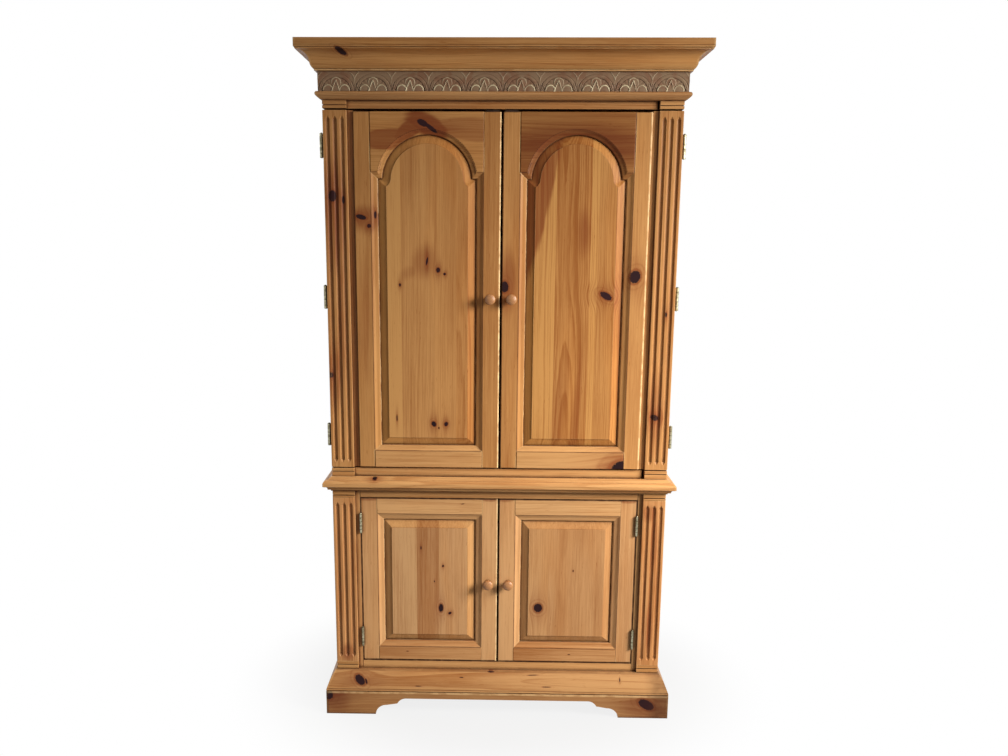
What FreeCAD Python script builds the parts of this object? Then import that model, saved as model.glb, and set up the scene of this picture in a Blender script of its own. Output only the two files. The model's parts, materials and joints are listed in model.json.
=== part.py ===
"""TV armoire in knotty pine: a lower cabinet with two framed doors, an upper cabinet whose two
arched doors carry their fluted pilasters, a carved frieze and a cove cornice.

Millimetres. +Z is up, the front faces -Y, and the origin is the bottom centre of the bounding box.
Depths called "setback" are measured backwards from the face of the pilasters, and moulding profiles
are (projection, height) points, where the projection is measured outwards from the case."""

import math
import os

import FreeCAD
import Part

V = FreeCAD.Vector

# ---------------------------------------------------------------- driving dimensions
# case
case_width = 1073.0            # over the outer faces of the pilasters
case_depth = 553.5             # face of the pilasters to the back
board = 22.0                   # solid pine for sides, rails and frames
shelf_board = 19.0             # decks, tops and shelves
back_board = 8.0               # tongued back panels
back_rabbet = 10.0             # how far the back laps into each side
frame_setback = 10.0           # rails and strips behind the pilaster face

# heights, from the floor up
plinth_height = 81.0
base_moulding_height = 66.0
lower_base_block_height = 25.5
lower_pilaster_height = 572.5
lower_cap_block_height = 23.0
waist_height = 48.0
upper_base_block_height = 27.5
upper_opening_height = 1105.0
upper_cap_block_height = 24.0
astragal_height = 22.5
frieze_height = 57.0
cornice_height = 82.0

# mouldings
plinth_projection = 33.0
foot_length = 165.0            # along the floor, on the front and on the sides
bracket_curve = 104.0          # length of the cut curve between foot and apron, on the front
side_curve_share = 0.81        # the same on the sides, as a share of half the gap
ankle_height = 34.0
knee_height = 40.0
apron_height = 58.0
side_foot = 60.0               # sides and frame stiles stop this far above the floor
frieze_projection = 10.0
astragal_projection = 18.0
waist_projection = 27.0
cornice_projection = 66.5
cornice_back_height = 38.0     # how far the cornice laps up the case
cornice_top_width = 22.0

# pilasters and their blocks
pilaster_width = 72.0
flute_count = 3
flute_pitch = 21.5
flute_width = 14.0
flute_depth = 5.0
flute_inset = 16.0             # plain wood above and below the flutes
flute_point = 11.0             # length of the pointed end of a flute
block_groove = 3.0
upper_cap_groove_rise = 10.0
upper_base_groove_rise = 16.5
lower_cap_groove_rise = 7.5
lower_base_groove_rise = 14.5
top_rail_shortfall = 5.0       # open joint at the right-hand end of the top rail
waist_rail_shortfall = 7.0    # open joint at the right-hand end of the waist rail

# upper doors
hinge_strip = 17.5             # hinge board showing between the pilaster and the framed door
upper_door_setback = 2.0
upper_door_thickness = 24.0
upper_outer_stile = 49.0
upper_inner_stile = 51.0
upper_bottom_rail = 54.0
leaf_gap_low = 3.0             # under the hinge boards, pilasters and framed doors
leaf_gap_high = 4.5            # above the hinge boards and pilasters
framed_door_drop = 3.0         # the framed doors stop this much lower
centre_gap = 5.5
arch_crown = 67.0              # wood between the top of the door and the crown of the opening
arch_shoulder = 13.0           # level shoulder on each side of the arch
arch_centre_drop = 8.0         # centre of the arch below the shoulder of the opening
leaf_gap = 1.6                 # between a hinged leaf and the case, at the hinges

# lower doors
frame_strip = 16.0             # frame stile showing between the pilaster and the opening
lower_opening_low = 174.5
lower_opening_high = 742.5
lower_door_gap = 1.6
lower_outer_stile = 51.0
lower_inner_stile = 50.0
lower_bottom_rail = 46.5
lower_top_rail_face = 51.5

# sticking and raised panels: widths of (side, foot, head, arch)
upper_sticking = (23.0, 20.0, 21.0, 17.5)
lower_sticking = (22.5, 22.5, 22.5, 22.5)
upper_bevel = (25.5, 24.5, 25.0, 26.0)
lower_bevel = (25.5, 23.5, 26.5, 25.0)
# (share of the sticking's width, depth below the frame's face)
sticking_profile = ((1.0, 0.0), (0.84, 0.9), (0.66, 3.6), (0.48, 5.6), (0.22, 6.2), (0.08, 7.6), (0.0, 10.0))
panel_field_drop = 1.5         # raised field behind the face of the frame
panel_step = 1.6               # small step round the field
panel_bevel_drop = 12.5        # foot of the bevel behind the face of the frame
panel_tongue = 7.0             # thickness of the tongue
panel_grip = 8.0               # how far the tongue enters its groove
groove_depth = 10.0
groove_clearance = 0.15

# knobs
knob_radius = 16.5
knob_projection = 30.0
knob_neck_radius = 7.0
knob_foot_radius = 10.0
knob_spigot_radius = 5.0
knob_spigot_length = 15.0
knob_inset = 30.0              # from the closing edge of the door
upper_knob_rise = 540.0        # above the bottom of the upper doors
lower_knob_rise = 277.5        # above the bottom of the lower doors
spigot_clearance = 0.05

# hinges: five knuckles each
upper_hinge = {"length": 71.5, "barrel": 5.5, "pin": 2.4, "leaf": 32.0, "stand": 11.0, "screws": 3}
lower_hinge = {"length": 65.0, "barrel": 4.2, "pin": 1.9, "leaf": 24.0, "stand": 4.5, "screws": 2}
upper_hinge_inset = 100.0
upper_hinge_drop = 8.0         # middle hinge below the middle of the leaf
lower_hinge_inset = 85.0
hinge_plate = 2.0
knuckle_count = 5
knuckle_gap = 0.2
leaf_to_leaf = 0.2
pin_clearance = 0.05
knuckle_relief = 0.4
pin_head_height = 2.5
screw_head_radius = 3.4
screw_head_height = 1.7
screw_shank_radius = 1.7
screw_length = 14.0
screw_clearance = 0.05

# inside
upper_shelf_height = 1560.0
lower_shelf_height = 460.0
shelf_front_setback = 75.0
shelf_side_clearance = 1.0
shelf_pin_radius = 2.5
shelf_pin_length = 18.0
shelf_pin_inset = 60.0
upper_outlet_height = 930.0
lower_outlet_height = 260.0
outlet_radius = 30.0
outlet_offset = 300.0          # to the right of the middle
catch_width = 40.0
catch_height = 12.5
catch_depth = 18.0
strike_thickness = 1.0
catch_clearance = 0.3

# ---------------------------------------------------------------- derived levels and planes
half = case_width / 2
face = -(case_depth - cornice_projection) / 2      # face of the pilasters
back = face + case_depth
frame_face = face + frame_setback
lower_front = frame_face + board                   # front edges of the lower sides
leaf_back = frame_face + board                     # back of the hinge boards
upper_front = leaf_back + leaf_gap                 # front edges of the upper sides
inside = half - board
back_face = back - back_board

z_base_moulding = plinth_height
z_lower_base = z_base_moulding + base_moulding_height
z_lower_pilaster = z_lower_base + lower_base_block_height
z_lower_cap = z_lower_pilaster + lower_pilaster_height
z_waist = z_lower_cap + lower_cap_block_height
z_upper_base = z_waist + waist_height
z_upper_opening = z_upper_base + upper_base_block_height
z_upper_cap = z_upper_opening + upper_opening_height
z_astragal = z_upper_cap + upper_cap_block_height
z_frieze = z_astragal + astragal_height
z_cornice = z_frieze + frieze_height
z_top = z_cornice + cornice_height
z_case_top = z_cornice + cornice_back_height

leaf_low = z_upper_opening + leaf_gap_low
leaf_high = z_upper_cap - leaf_gap_high
lower_door_low = lower_opening_low + lower_door_gap
lower_door_high = lower_opening_high - lower_door_gap
pilaster_in = half - pilaster_width
upper_door_edge = pilaster_in - hinge_strip
lower_opening_half = pilaster_in - frame_strip
lower_door_edge = lower_opening_half - lower_door_gap


# ---------------------------------------------------------------- shapes
def box(x0, x1, y0, y1, z0, z1):
    return Part.makeBox(x1 - x0, y1 - y0, z1 - z0, V(x0, y0, z0))


def mirrored(shape):
    """The same piece on the other side of the armoire."""
    return shape.mirror(V(0, 0, 0), V(1, 0, 0))


def both(shape):
    """A pair of pieces, one on each side."""
    return [mirrored(shape), shape]


def outline(points, place):
    """Closed wire through points. A point is (a, b), or (a, b, c, d) for an arc that
    reaches (a, b) from the point before through (c, d). place turns (a, b) into a vector."""
    edges = []
    before = points[-1]
    for point in points:
        start = place(before[0], before[1])
        end = place(point[0], point[1])
        if len(point) == 4:
            edges.append(Part.Arc(start, place(point[2], point[3]), end).toShape())
        else:
            edges.append(Part.LineSegment(start, end).toShape())
        before = point
    return Part.Wire(edges)


def slab(points, y0, y1):
    """Plate with an outline in X and Z, from y0 back to y1."""
    wire = outline(points, lambda x, z: V(x, y0, z))
    return Part.Face(wire).extrude(V(0, y1 - y0, 0))


def plan(points, z0, z1):
    """Plate with an outline in X and Y, from z0 up to z1."""
    wire = outline(points, lambda x, y: V(x, y, z0))
    return Part.Face(wire).extrude(V(0, 0, z1 - z0))


def group(solids):
    return Part.makeCompound(solids)


def save(name, solids):
    shape = solids[0] if len(solids) == 1 else group(solids)
    shape.exportStep("parts/" + name + ".step")


# ---------------------------------------------------------------- mitred mouldings
def moulding(profile, z0, ground):
    """Front length and two returns of a moulding that is mitred round the case.
    profile(back) gives its outline with the back at that projection. The front length
    reaches back past the pilaster face by the ground."""
    reach = cornice_projection * 2
    front_wire = outline(profile(-ground), lambda p, h: V(-half - reach, face - p, z0 + h))
    front = Part.Face(front_wire).extrude(V(2 * (half + reach), 0, 0))
    front_bound = [(-half, face + ground), (half, face + ground), (half, face),
                   (half + reach, face - reach), (-half - reach, face - reach), (-half, face)]
    front = front.common(plan(front_bound, 0, z_top))
    side_wire = outline(profile(0), lambda p, h: V(half + p, face - reach, z0 + h))
    side = Part.Face(side_wire).extrude(V(0, back - face + reach, 0))
    side_bound = [(half, face), (half + reach, face - reach), (half + reach, back), (half, back)]
    side = side.common(plan(side_bound, 0, z_top))
    return [front.Solids[0], mirrored(side.Solids[0]), side.Solids[0]]


def shares(projection, height, points):
    """Profile points given as shares of a moulding's own projection and height."""
    sizes = (projection, height, projection, height)
    return [tuple(share * size for share, size in zip(point, sizes)) for point in points]


def cornice_profile(rear):
    """Fascia, a small step, a big cove, a hollowed foot and a fillet."""
    foot = [(0.263, 0.0), (0.263, 0.061), (0.301, 0.061), (0.429, 0.256, 0.383, 0.146)]
    cove_start = (0.429 * cornice_projection, 0.256 * cornice_height)
    cove_end = (0.917 * cornice_projection, 0.640 * cornice_height)
    radius = (cove_end[0] - cove_start[0] + cove_end[1] - cove_start[1]) / 2
    cove_mid = (cove_end[0] - radius * math.sin(math.radians(45)),
                cove_start[1] + radius * math.sin(math.radians(45)))
    head = [(0.955, 0.640), (0.955, 0.701), (1.0, 0.701), (1.0, 1.0)]
    top = [(cornice_projection - cornice_top_width, cornice_height), (rear, cornice_back_height)]
    return ([(rear, 0)] + shares(cornice_projection, cornice_height, foot)
            + [cove_end + cove_mid] + shares(cornice_projection, cornice_height, head) + top)


def astragal_profile(rear):
    """A round nose over a sloping hollow."""
    points = [(0.167, 0.0), (0.833, 0.422, 0.444, 0.142), (0.778, 1.0, 1.0, 0.689)]
    return ([(rear, 0)] + shares(astragal_projection, astragal_height, points)
            + [(rear, astragal_height)])


def waist_profile(rear):
    """A weathered top, an ovolo, a flat nose and a cove below it."""
    points = [(0.148, 0.0), (0.148, 0.083), (0.481, 0.125), (0.889, 0.354, 0.593, 0.292),
              (1.0, 0.396), (1.0, 0.604), (0.481, 0.802, 0.833, 0.740), (0.426, 0.854),
              (0.037, 1.0)]
    return [(rear, 0)] + shares(waist_projection, waist_height, points) + [(rear, waist_height)]


def base_profile(rear):
    """A gently bellied slope over a narrow shadow groove."""
    points = [(0.879, 0.0), (0.879, 0.045), (1.0, 0.045), (0.985, 0.091),
              (0.091, 1.0, 0.636, 0.530)]
    return ([(rear, 0)] + shares(plinth_projection, base_moulding_height, points)
            + [(rear, base_moulding_height)])


def frieze_pieces():
    """Plain ground of the carved frieze: the front board and the two returns behind it."""
    front = box(-half - frieze_projection, half + frieze_projection,
                face - frieze_projection, frame_face, z_frieze, z_cornice)
    side = box(half, half + frieze_projection, frame_face, back, z_frieze, z_cornice)
    return front, both(side)


# ---------------------------------------------------------------- plinth with bracket feet
def bracket_cut(length, curve):
    """Outline of the gap between two bracket feet, centred, on a run of this length. From the
    floor it rises in a quarter curve to the ankle, slopes to the knee and curves to the apron."""
    end = length / 2 - foot_length
    under = -1.0
    bow = knee_height + (apron_height - knee_height) * 0.72
    turns = [(0.356, ankle_height, 0.11, ankle_height * 0.72), (0.702, knee_height),
             (1.0, apron_height, 0.8125, bow)]
    left = [(-end, under), (-end, 0)]
    for turn in turns:
        left.append(tuple(value if i % 2 else curve * value - end for i, value in enumerate(turn)))
    knee, apron = left[-2:]
    ankle = left[-3]
    right = [(-apron[0], apron[1]), (-knee[0], knee[1], -apron[2], apron[3]),
             (-ankle[0], ankle[1]), (end, 0, -ankle[2], ankle[3]), (end, under)]
    return left + right


def plinth_profile(rear):
    return [(rear, 0), (plinth_projection, 0), (plinth_projection, plinth_height),
            (rear, plinth_height)]


def plinth():
    front, left, right = moulding(plinth_profile, 0, frame_setback)
    front_run = case_width + 2 * plinth_projection
    gap = slab(bracket_cut(front_run, bracket_curve), face - plinth_projection - 1, frame_face + 1)
    front = front.cut(gap)
    side_run = back - face + plinth_projection
    side_curve = side_curve_share * (side_run / 2 - foot_length)
    middle = (back + face - plinth_projection) / 2
    side_wire = outline(bracket_cut(side_run, side_curve), lambda y, z: V(half - 1, middle + y, z))
    side_gap = Part.Face(side_wire).extrude(V(plinth_projection + 2, 0, 0))
    right = right.cut(side_gap).Solids[0]
    return front.Solids[0], [mirrored(right), right]


# ---------------------------------------------------------------- pilasters
def pilaster(z0, z1):
    """Right-hand fluted pilaster: a plain board with stopped, pointed flutes."""
    board_solid = box(pilaster_in, half, face, frame_face, z0, z1)
    radius = ((flute_width / 2) ** 2 + flute_depth ** 2) / (2 * flute_depth)
    axis_y = face - radius + flute_depth
    point_radius = radius - flute_depth
    centre = (pilaster_in + half) / 2
    low = z0 + flute_inset
    high = z1 - flute_inset
    flutes = []
    for i in range(flute_count):
        x = centre + (i - (flute_count - 1) / 2) * flute_pitch
        straight = high - low - 2 * flute_point
        flutes.append(Part.makeCylinder(radius, straight, V(x, axis_y, low + flute_point)))
        flutes.append(Part.makeCone(point_radius, radius, flute_point, V(x, axis_y, low)))
        flutes.append(Part.makeCone(radius, point_radius, flute_point,
                                    V(x, axis_y, high - flute_point)))
    return board_solid.cut(flutes).Solids[0]


def block(z0, z1, groove_rise, rear):
    """Right-hand plinth or cap block of a pilaster, with a groove across its front and side."""
    low = z0 + groove_rise - block_groove / 2
    high = low + block_groove
    whole = box(pilaster_in, half, face, rear, z0, z1)
    front_groove = box(pilaster_in - 1, half + 1, face - 1, face + block_groove, low, high)
    side_groove = box(half - block_groove, half + 1, face - 1, rear + 1, low, high)
    return whole.cut([front_groove, side_groove]).Solids[0]


# ---------------------------------------------------------------- framed doors
def door_values(kind):
    """Planes and levels of the right-hand upper or lower door."""
    if kind == "upper":
        door = {"edge": upper_door_edge, "low": leaf_low, "high": leaf_high - framed_door_drop,
                "front": face + upper_door_setback, "thickness": upper_door_thickness,
                "outer": upper_outer_stile, "inner": upper_inner_stile,
                "foot": upper_bottom_rail, "sticking": upper_sticking, "bevel": upper_bevel}
    else:
        door = {"edge": lower_door_edge, "low": lower_door_low, "high": lower_door_high,
                "front": frame_face, "thickness": board,
                "outer": lower_outer_stile, "inner": lower_inner_stile,
                "foot": lower_bottom_rail, "sticking": lower_sticking, "bevel": lower_bevel}
    door["back"] = door["front"] + door["thickness"]
    door["close"] = centre_gap / 2
    side, foot, head = door["sticking"][:3]
    door["x1"] = door["edge"] - door["outer"] - side
    door["x0"] = door["close"] + door["inner"] + side
    door["z0"] = door["low"] + door["foot"] + foot
    door["z1"] = door["high"] - lower_top_rail_face - head
    door["arched"] = kind == "upper"
    if door["arched"]:
        door["radius"] = (door["x1"] - door["x0"]) / 2 - arch_shoulder
        door["centre_z"] = door["high"] - arch_crown - door["radius"]
        door["z1"] = door["centre_z"] + arch_centre_drop
    return door


def opening_points(door, grow):
    """Outline of the panel opening, grown outwards by (side, foot, head, arch)."""
    side, foot, head, arch = grow
    x0 = door["x0"] - side
    x1 = door["x1"] + side
    z0 = door["z0"] - foot
    z1 = door["z1"] + head
    if not door["arched"]:
        return [(x0, z0), (x1, z0), (x1, z1), (x0, z1)]
    centre_x = (door["x0"] + door["x1"]) / 2
    centre_z = door["centre_z"]
    radius = door["radius"] + arch
    reach = math.sqrt(radius ** 2 - (z1 - centre_z) ** 2)
    return [(x0, z0), (x1, z0), (x1, z1), (centre_x + reach, z1),
            (centre_x - reach, z1, centre_x, centre_z + radius), (x0, z1)]


def scaled(widths, share):
    return tuple(width * share for width in widths)


def ring(door, grow, y):
    return outline(opening_points(door, grow), lambda x, z: V(x, y, z))


def opening_void(door):
    """What the moulded opening takes out of the frame, and the panel's groove."""
    full = door["sticking"]
    wires = [ring(door, full, door["front"] - 1)]
    wires += [ring(door, scaled(full, share), door["front"] + depth)
              for share, depth in sticking_profile]
    wires.append(ring(door, scaled(full, 0), door["back"] + 1))
    void = Part.makeLoft(wires, True, True)
    groove_front = door["front"] + panel_bevel_drop - groove_clearance
    groove_back = door["front"] + panel_bevel_drop + panel_tongue + groove_clearance
    groove_grow = (groove_depth,) * 4
    groove = slab(opening_points(door, groove_grow), groove_front, groove_back)
    return [void, groove]


def bevel_section(door, width, place, beyond=1.0):
    """Section of the cutter that bevels a panel, which reaches a little beyond the panel's edge.
    place(distance in from the edge, y) turns its points into vectors."""
    front = door["front"] - 1
    step = door["front"] + panel_field_drop + panel_step
    foot = door["front"] + panel_bevel_drop
    points = [(width, front), (width, step), (0, foot)]
    points += [(-beyond, foot), (-beyond, front)] if beyond else [(0, front)]
    return Part.Face(outline(points, place))


def straight_bevel(door, width, start, end):
    """Bevel along a straight edge of the panel, with the wood on the left of start to end."""
    run = math.hypot(end[0] - start[0], end[1] - start[1])
    inward = ((start[1] - end[1]) / run, (end[0] - start[0]) / run)
    section = bevel_section(door, width, lambda d, y: V(start[0] + inward[0] * d, y,
                                                        start[1] + inward[1] * d))
    return section.extrude(V(end[0] - start[0], 0, end[1] - start[1]))


def arch_bevels(door):
    """Bevels of the shoulders and the arch. The cutter turns round the sharp corner where they
    meet, so the field keeps a smooth curve there."""
    width = door["bevel"][3]
    centre_x = (door["x0"] + door["x1"]) / 2
    centre_z = door["centre_z"]
    radius = door["radius"]
    reach = math.sqrt(radius ** 2 - arch_centre_drop ** 2)
    start_angle = math.asin(arch_centre_drop / radius)
    along = (math.cos(start_angle), math.sin(start_angle))
    section = bevel_section(door, width, lambda d, y: V(centre_x + along[0] * (radius - d), y,
                                                        centre_z + along[1] * (radius - d)))
    turn = 180 - 2 * math.degrees(start_angle)
    cuts = [section.revolve(V(centre_x, 0, centre_z), V(0, -1, 0), turn)]
    for side, x_edge in ((-1, door["x0"]), (1, door["x1"])):
        corner = (centre_x + side * reach, door["z1"])
        cone = bevel_section(door, width, lambda d, y: V(corner[0] + d, y, corner[1]), 0)
        cuts.append(cone.revolve(V(corner[0], 0, corner[1]), V(0, -1, 0), 360))
        ends = [(x_edge, door["z1"]), corner]
        cuts.append(straight_bevel(door, width, *(ends if side == 1 else reversed(ends))))
    return cuts


def raised_panel(door):
    """Fielded panel: a flat field, a small step, a bevel and a tongue all round."""
    side, foot, head = door["bevel"][:3]
    x0 = door["x0"]
    x1 = door["x1"]
    z0 = door["z0"]
    z1 = door["z1"]
    cuts = [straight_bevel(door, side, (x1, z0), (x1, z1)),
            straight_bevel(door, foot, (x0, z0), (x1, z0)),
            straight_bevel(door, side, (x0, z1), (x0, z0))]
    if door["arched"]:
        cuts += arch_bevels(door)
    else:
        cuts.append(straight_bevel(door, head, (x1, z1), (x0, z1)))
    tongue_front = door["front"] + panel_bevel_drop
    flush = opening_points(door, scaled(door["bevel"], 0))
    raised = slab(flush, door["front"] + panel_field_drop, tongue_front).cut(cuts)
    tongue = slab(opening_points(door, (panel_grip,) * 4), tongue_front,
                  tongue_front + panel_tongue)
    return raised.fuse(tongue).removeSplitter().Solids[0]


def door_frame(door):
    """Two stiles and two rails, mitred where their sticking meets."""
    side, foot, head = door["sticking"][:3]
    x0 = door["x0"]
    x1 = door["x1"]
    z0 = door["z0"]
    z1 = door["z1"]
    joint_in = x0 - side
    joint_out = x1 + side
    low = z0 - foot
    high = z1 + head
    outer = [(door["edge"], door["low"]), (door["edge"], door["high"]),
             (joint_out, door["high"]), (joint_out, high), (x1, z1), (x1, z0),
             (joint_out, low), (joint_out, door["low"])]
    inner = [(door["close"], door["low"]), (door["close"], door["high"]),
             (joint_in, door["high"]), (joint_in, high), (x0, z1), (x0, z0),
             (joint_in, low), (joint_in, door["low"])]
    top = [(joint_in, door["high"]), (joint_out, door["high"]), (joint_out, high),
           (x1, z1), (x0, z1), (joint_in, high)]
    bottom = [(joint_in, door["low"]), (joint_out, door["low"]), (joint_out, low),
              (x1, z0), (x0, z0), (joint_in, low)]
    void = opening_void(door)
    pieces = []
    for points in (outer, inner, top, bottom):
        blank = slab(points, door["front"], door["back"])
        pieces.append(blank.cut(void).Solids[0])
    return pieces


def knob_place(door, rise):
    return V(door["close"] + knob_inset, door["front"], door["low"] + rise)


def knob(place):
    """Turned pine knob with its spigot, on the axis of a stile's bored hole."""
    r = knob_radius
    tip = knob_projection
    neck = knob_neck_radius
    points = [(0, tip), (r * 0.72, tip * 0.913, r * 0.4, tip * 0.977),
              (r, tip * 0.65, r * 0.96, tip * 0.813), (r * 0.66, tip * 0.45, r * 0.92, tip * 0.523),
              (neck, tip * 0.3, neck * 1.2, tip * 0.393),
              (knob_foot_radius, tip * 0.083, neck * 1.057, tip * 0.167), (knob_foot_radius, 0),
              (knob_spigot_radius, 0), (knob_spigot_radius, -knob_spigot_length),
              (0, -knob_spigot_length)]
    wire = outline(points, lambda radius, out: V(radius, -out, 0))
    solid = Part.Face(wire).revolve(V(0, 0, 0), V(0, 1, 0), 360)
    solid.translate(place)
    return solid.Solids[0] if solid.Solids else Part.Solid(solid)


def knob_hole(place):
    return Part.makeCylinder(knob_spigot_radius + spigot_clearance,
                             knob_spigot_length + spigot_clearance, place, V(0, 1, 0))


# ---------------------------------------------------------------- hinges
def screw(x, z, side, clearance):
    """Countersunk screw through a hinge leaf; side +1 drives it towards local +Y."""
    start = V(x, side * (leaf_to_leaf / 2), z)
    along = V(0, side, 0)
    head = Part.makeCone(screw_head_radius + clearance, screw_shank_radius + clearance,
                         screw_head_height, start, along)
    shank = Part.makeCylinder(screw_shank_radius + clearance, screw_length + clearance, start, along)
    return head.fuse(shank).removeSplitter()


def hinge_leaf(size, side, own):
    """One leaf with its own knuckles. side +1 is the door's leaf, -1 the case's."""
    length = size["length"]
    step = length / knuckle_count
    inner = leaf_to_leaf / 2
    if side > 0:
        plate = box(0, size["leaf"], inner, inner + hinge_plate, 0, length)
    else:
        plate = box(0, size["leaf"], -inner - hinge_plate, -inner, 0, length)
    knuckles = []
    reliefs = []
    for i in range(knuckle_count):
        if i in own:
            knuckles.append(Part.makeCylinder(size["barrel"], step - knuckle_gap,
                                              V(0, 0, i * step + knuckle_gap / 2)))
        else:
            reliefs.append(Part.makeCylinder(size["barrel"] + knuckle_relief, step + knuckle_gap,
                                             V(0, 0, i * step - knuckle_gap / 2)))
    leaf = plate.cut(reliefs).fuse(knuckles).removeSplitter()
    bore = Part.makeCylinder(size["pin"] + pin_clearance, length + 2, V(0, 0, -1))
    return leaf.cut(bore)


def hinge_pin(size):
    """Pin with a button head above the top knuckle and a tip below the bottom one."""
    head_radius = size["barrel"] * 0.72
    top = size["length"] - knuckle_gap / 2
    shaft = Part.makeCylinder(size["pin"], size["length"] + 1, V(0, 0, -1))
    head = Part.makeCone(head_radius, head_radius * 0.6, pin_head_height, V(0, 0, top))
    return shaft.fuse(head).removeSplitter()


def hinge_local(size):
    """All pieces of one hinge on a vertical axis at the origin, leaves towards +X.
    The wood is cut by a mortise as wide as the plate stands inside it, and by pilot holes."""
    door_knuckles = [i for i in range(knuckle_count) if i % 2 == 1]
    case_knuckles = [i for i in range(knuckle_count) if i % 2 == 0]
    wood_start = size["stand"]
    screw_x = (wood_start + size["leaf"]) / 2
    parts = {"pin": [hinge_pin(size)]}
    for name, side, own in (("door", 1, door_knuckles), ("case", -1, case_knuckles)):
        leaf = hinge_leaf(size, side, own)
        screws = []
        holes = []
        for i in range(size["screws"]):
            z = size["length"] * (i + 0.5) / size["screws"]
            screws.append(screw(screw_x, z, side, 0))
            holes.append(screw(screw_x, z, side, screw_clearance))
        plate_far = side * (leaf_to_leaf / 2 + hinge_plate)
        low = min(0, plate_far)
        high = max(0, plate_far)
        mortise = box(0, size["leaf"] + screw_clearance, low, high, 0, size["length"])
        parts[name] = [leaf.cut(holes).Solids[0]] + [s.Solids[0] for s in screws]
        parts[name + "_cut"] = holes + [mortise]
    return parts


def placed(shape, x, y, z, turn):
    copy = shape.copy()
    copy.rotate(V(0, 0, 0), V(0, 0, 1), turn)
    copy.translate(V(x, y, z))
    return copy


def hinge_set(size, axis_x, axis_y, centres, turn):
    """Right-hand hinges of one door at these heights, as lists by piece."""
    local = hinge_local(size)
    result = {key: [] for key in local}
    for centre in centres:
        for key, shapes in local.items():
            result[key] += [placed(s, axis_x, axis_y, centre - size["length"] / 2, turn)
                            for s in shapes]
    return result


# ---------------------------------------------------------------- the armoire
def lower_case(hinges):
    """Sides, floor, top, back, face frame, pilasters, shelf, plinth and mouldings below the waist."""
    side = box(inside, half, lower_front, back, side_foot, z_upper_base - shelf_board)
    rabbet = box(inside - 1, inside + back_rabbet, back_face, back + 1, lower_opening_low - shelf_board,
                 z_upper_base)
    side = side.cut([rabbet] + shelf_pin_holes(lower_shelf_height)).Solids[0]
    save("lower_sides", both(side))
    floor_low = lower_opening_low - shelf_board
    save("lower_floor", [box(-inside, inside, lower_front, back_face, floor_low, lower_opening_low)])
    save("lower_top", [box(-half, half, face, back, z_upper_base - shelf_board, z_upper_base)])
    reach = inside + back_rabbet
    panel = box(-reach, reach, back_face, back, floor_low, z_upper_base - shelf_board)
    save("lower_back", [panel.cut(outlet(lower_outlet_height)).Solids[0]])
    stile = box(lower_opening_half, half, frame_face, lower_front, side_foot,
                z_upper_base - shelf_board)
    save("lower_frame_stiles", both(stile.cut(hinges["case_cut"]).Solids[0]))
    save("lower_top_rail", [box(-lower_opening_half, lower_opening_half, frame_face, lower_front,
                                lower_opening_high, z_upper_base - shelf_board)])
    save("lower_bottom_rail", [box(-lower_opening_half, lower_opening_half, frame_face, lower_front,
                                   z_lower_base, lower_opening_low)])
    save("lower_pilasters", both(pilaster(z_lower_pilaster, z_lower_cap)))
    shelf_reach = inside - shelf_side_clearance
    save("lower_shelf", [box(-shelf_reach, shelf_reach, face + shelf_front_setback, back_face,
                             lower_shelf_height, lower_shelf_height + shelf_board)])
    save("base_moulding", moulding(base_profile, z_base_moulding, frame_setback))
    save("waist_moulding", moulding(waist_ground_profile, z_waist, frame_setback))
    front, sides = plinth()
    save("plinth_front", [front])
    save("plinth_sides", sides)


def waist_ground_profile(rear):
    """The waist moulding's outline, notched at the back over the lower top's front edge."""
    if rear == 0:
        return waist_profile(0)
    notch = waist_height - shelf_board
    return waist_profile(0)[:-1] + [(0, waist_height), (0, notch), (rear, notch), (rear, 0)]


def outlet(height):
    """Round cable outlet through a back panel."""
    start = V(outlet_offset, back_face - 1, height)
    return Part.makeCylinder(outlet_radius, back_board + 2, start, V(0, 1, 0))


def pin_places(height):
    z = height - shelf_pin_radius
    return [(face + shelf_front_setback + shelf_pin_inset, z), (back_face - shelf_pin_inset, z)]


def shelf_pin(y, z, clearance):
    start = inside - shelf_pin_length / 2
    return Part.makeCylinder(shelf_pin_radius + clearance, shelf_pin_length + clearance,
                             V(start, y, z), V(1, 0, 0))


def shelf_pin_holes(height):
    return [shelf_pin(y, z, spigot_clearance) for y, z in pin_places(height)]


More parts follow.
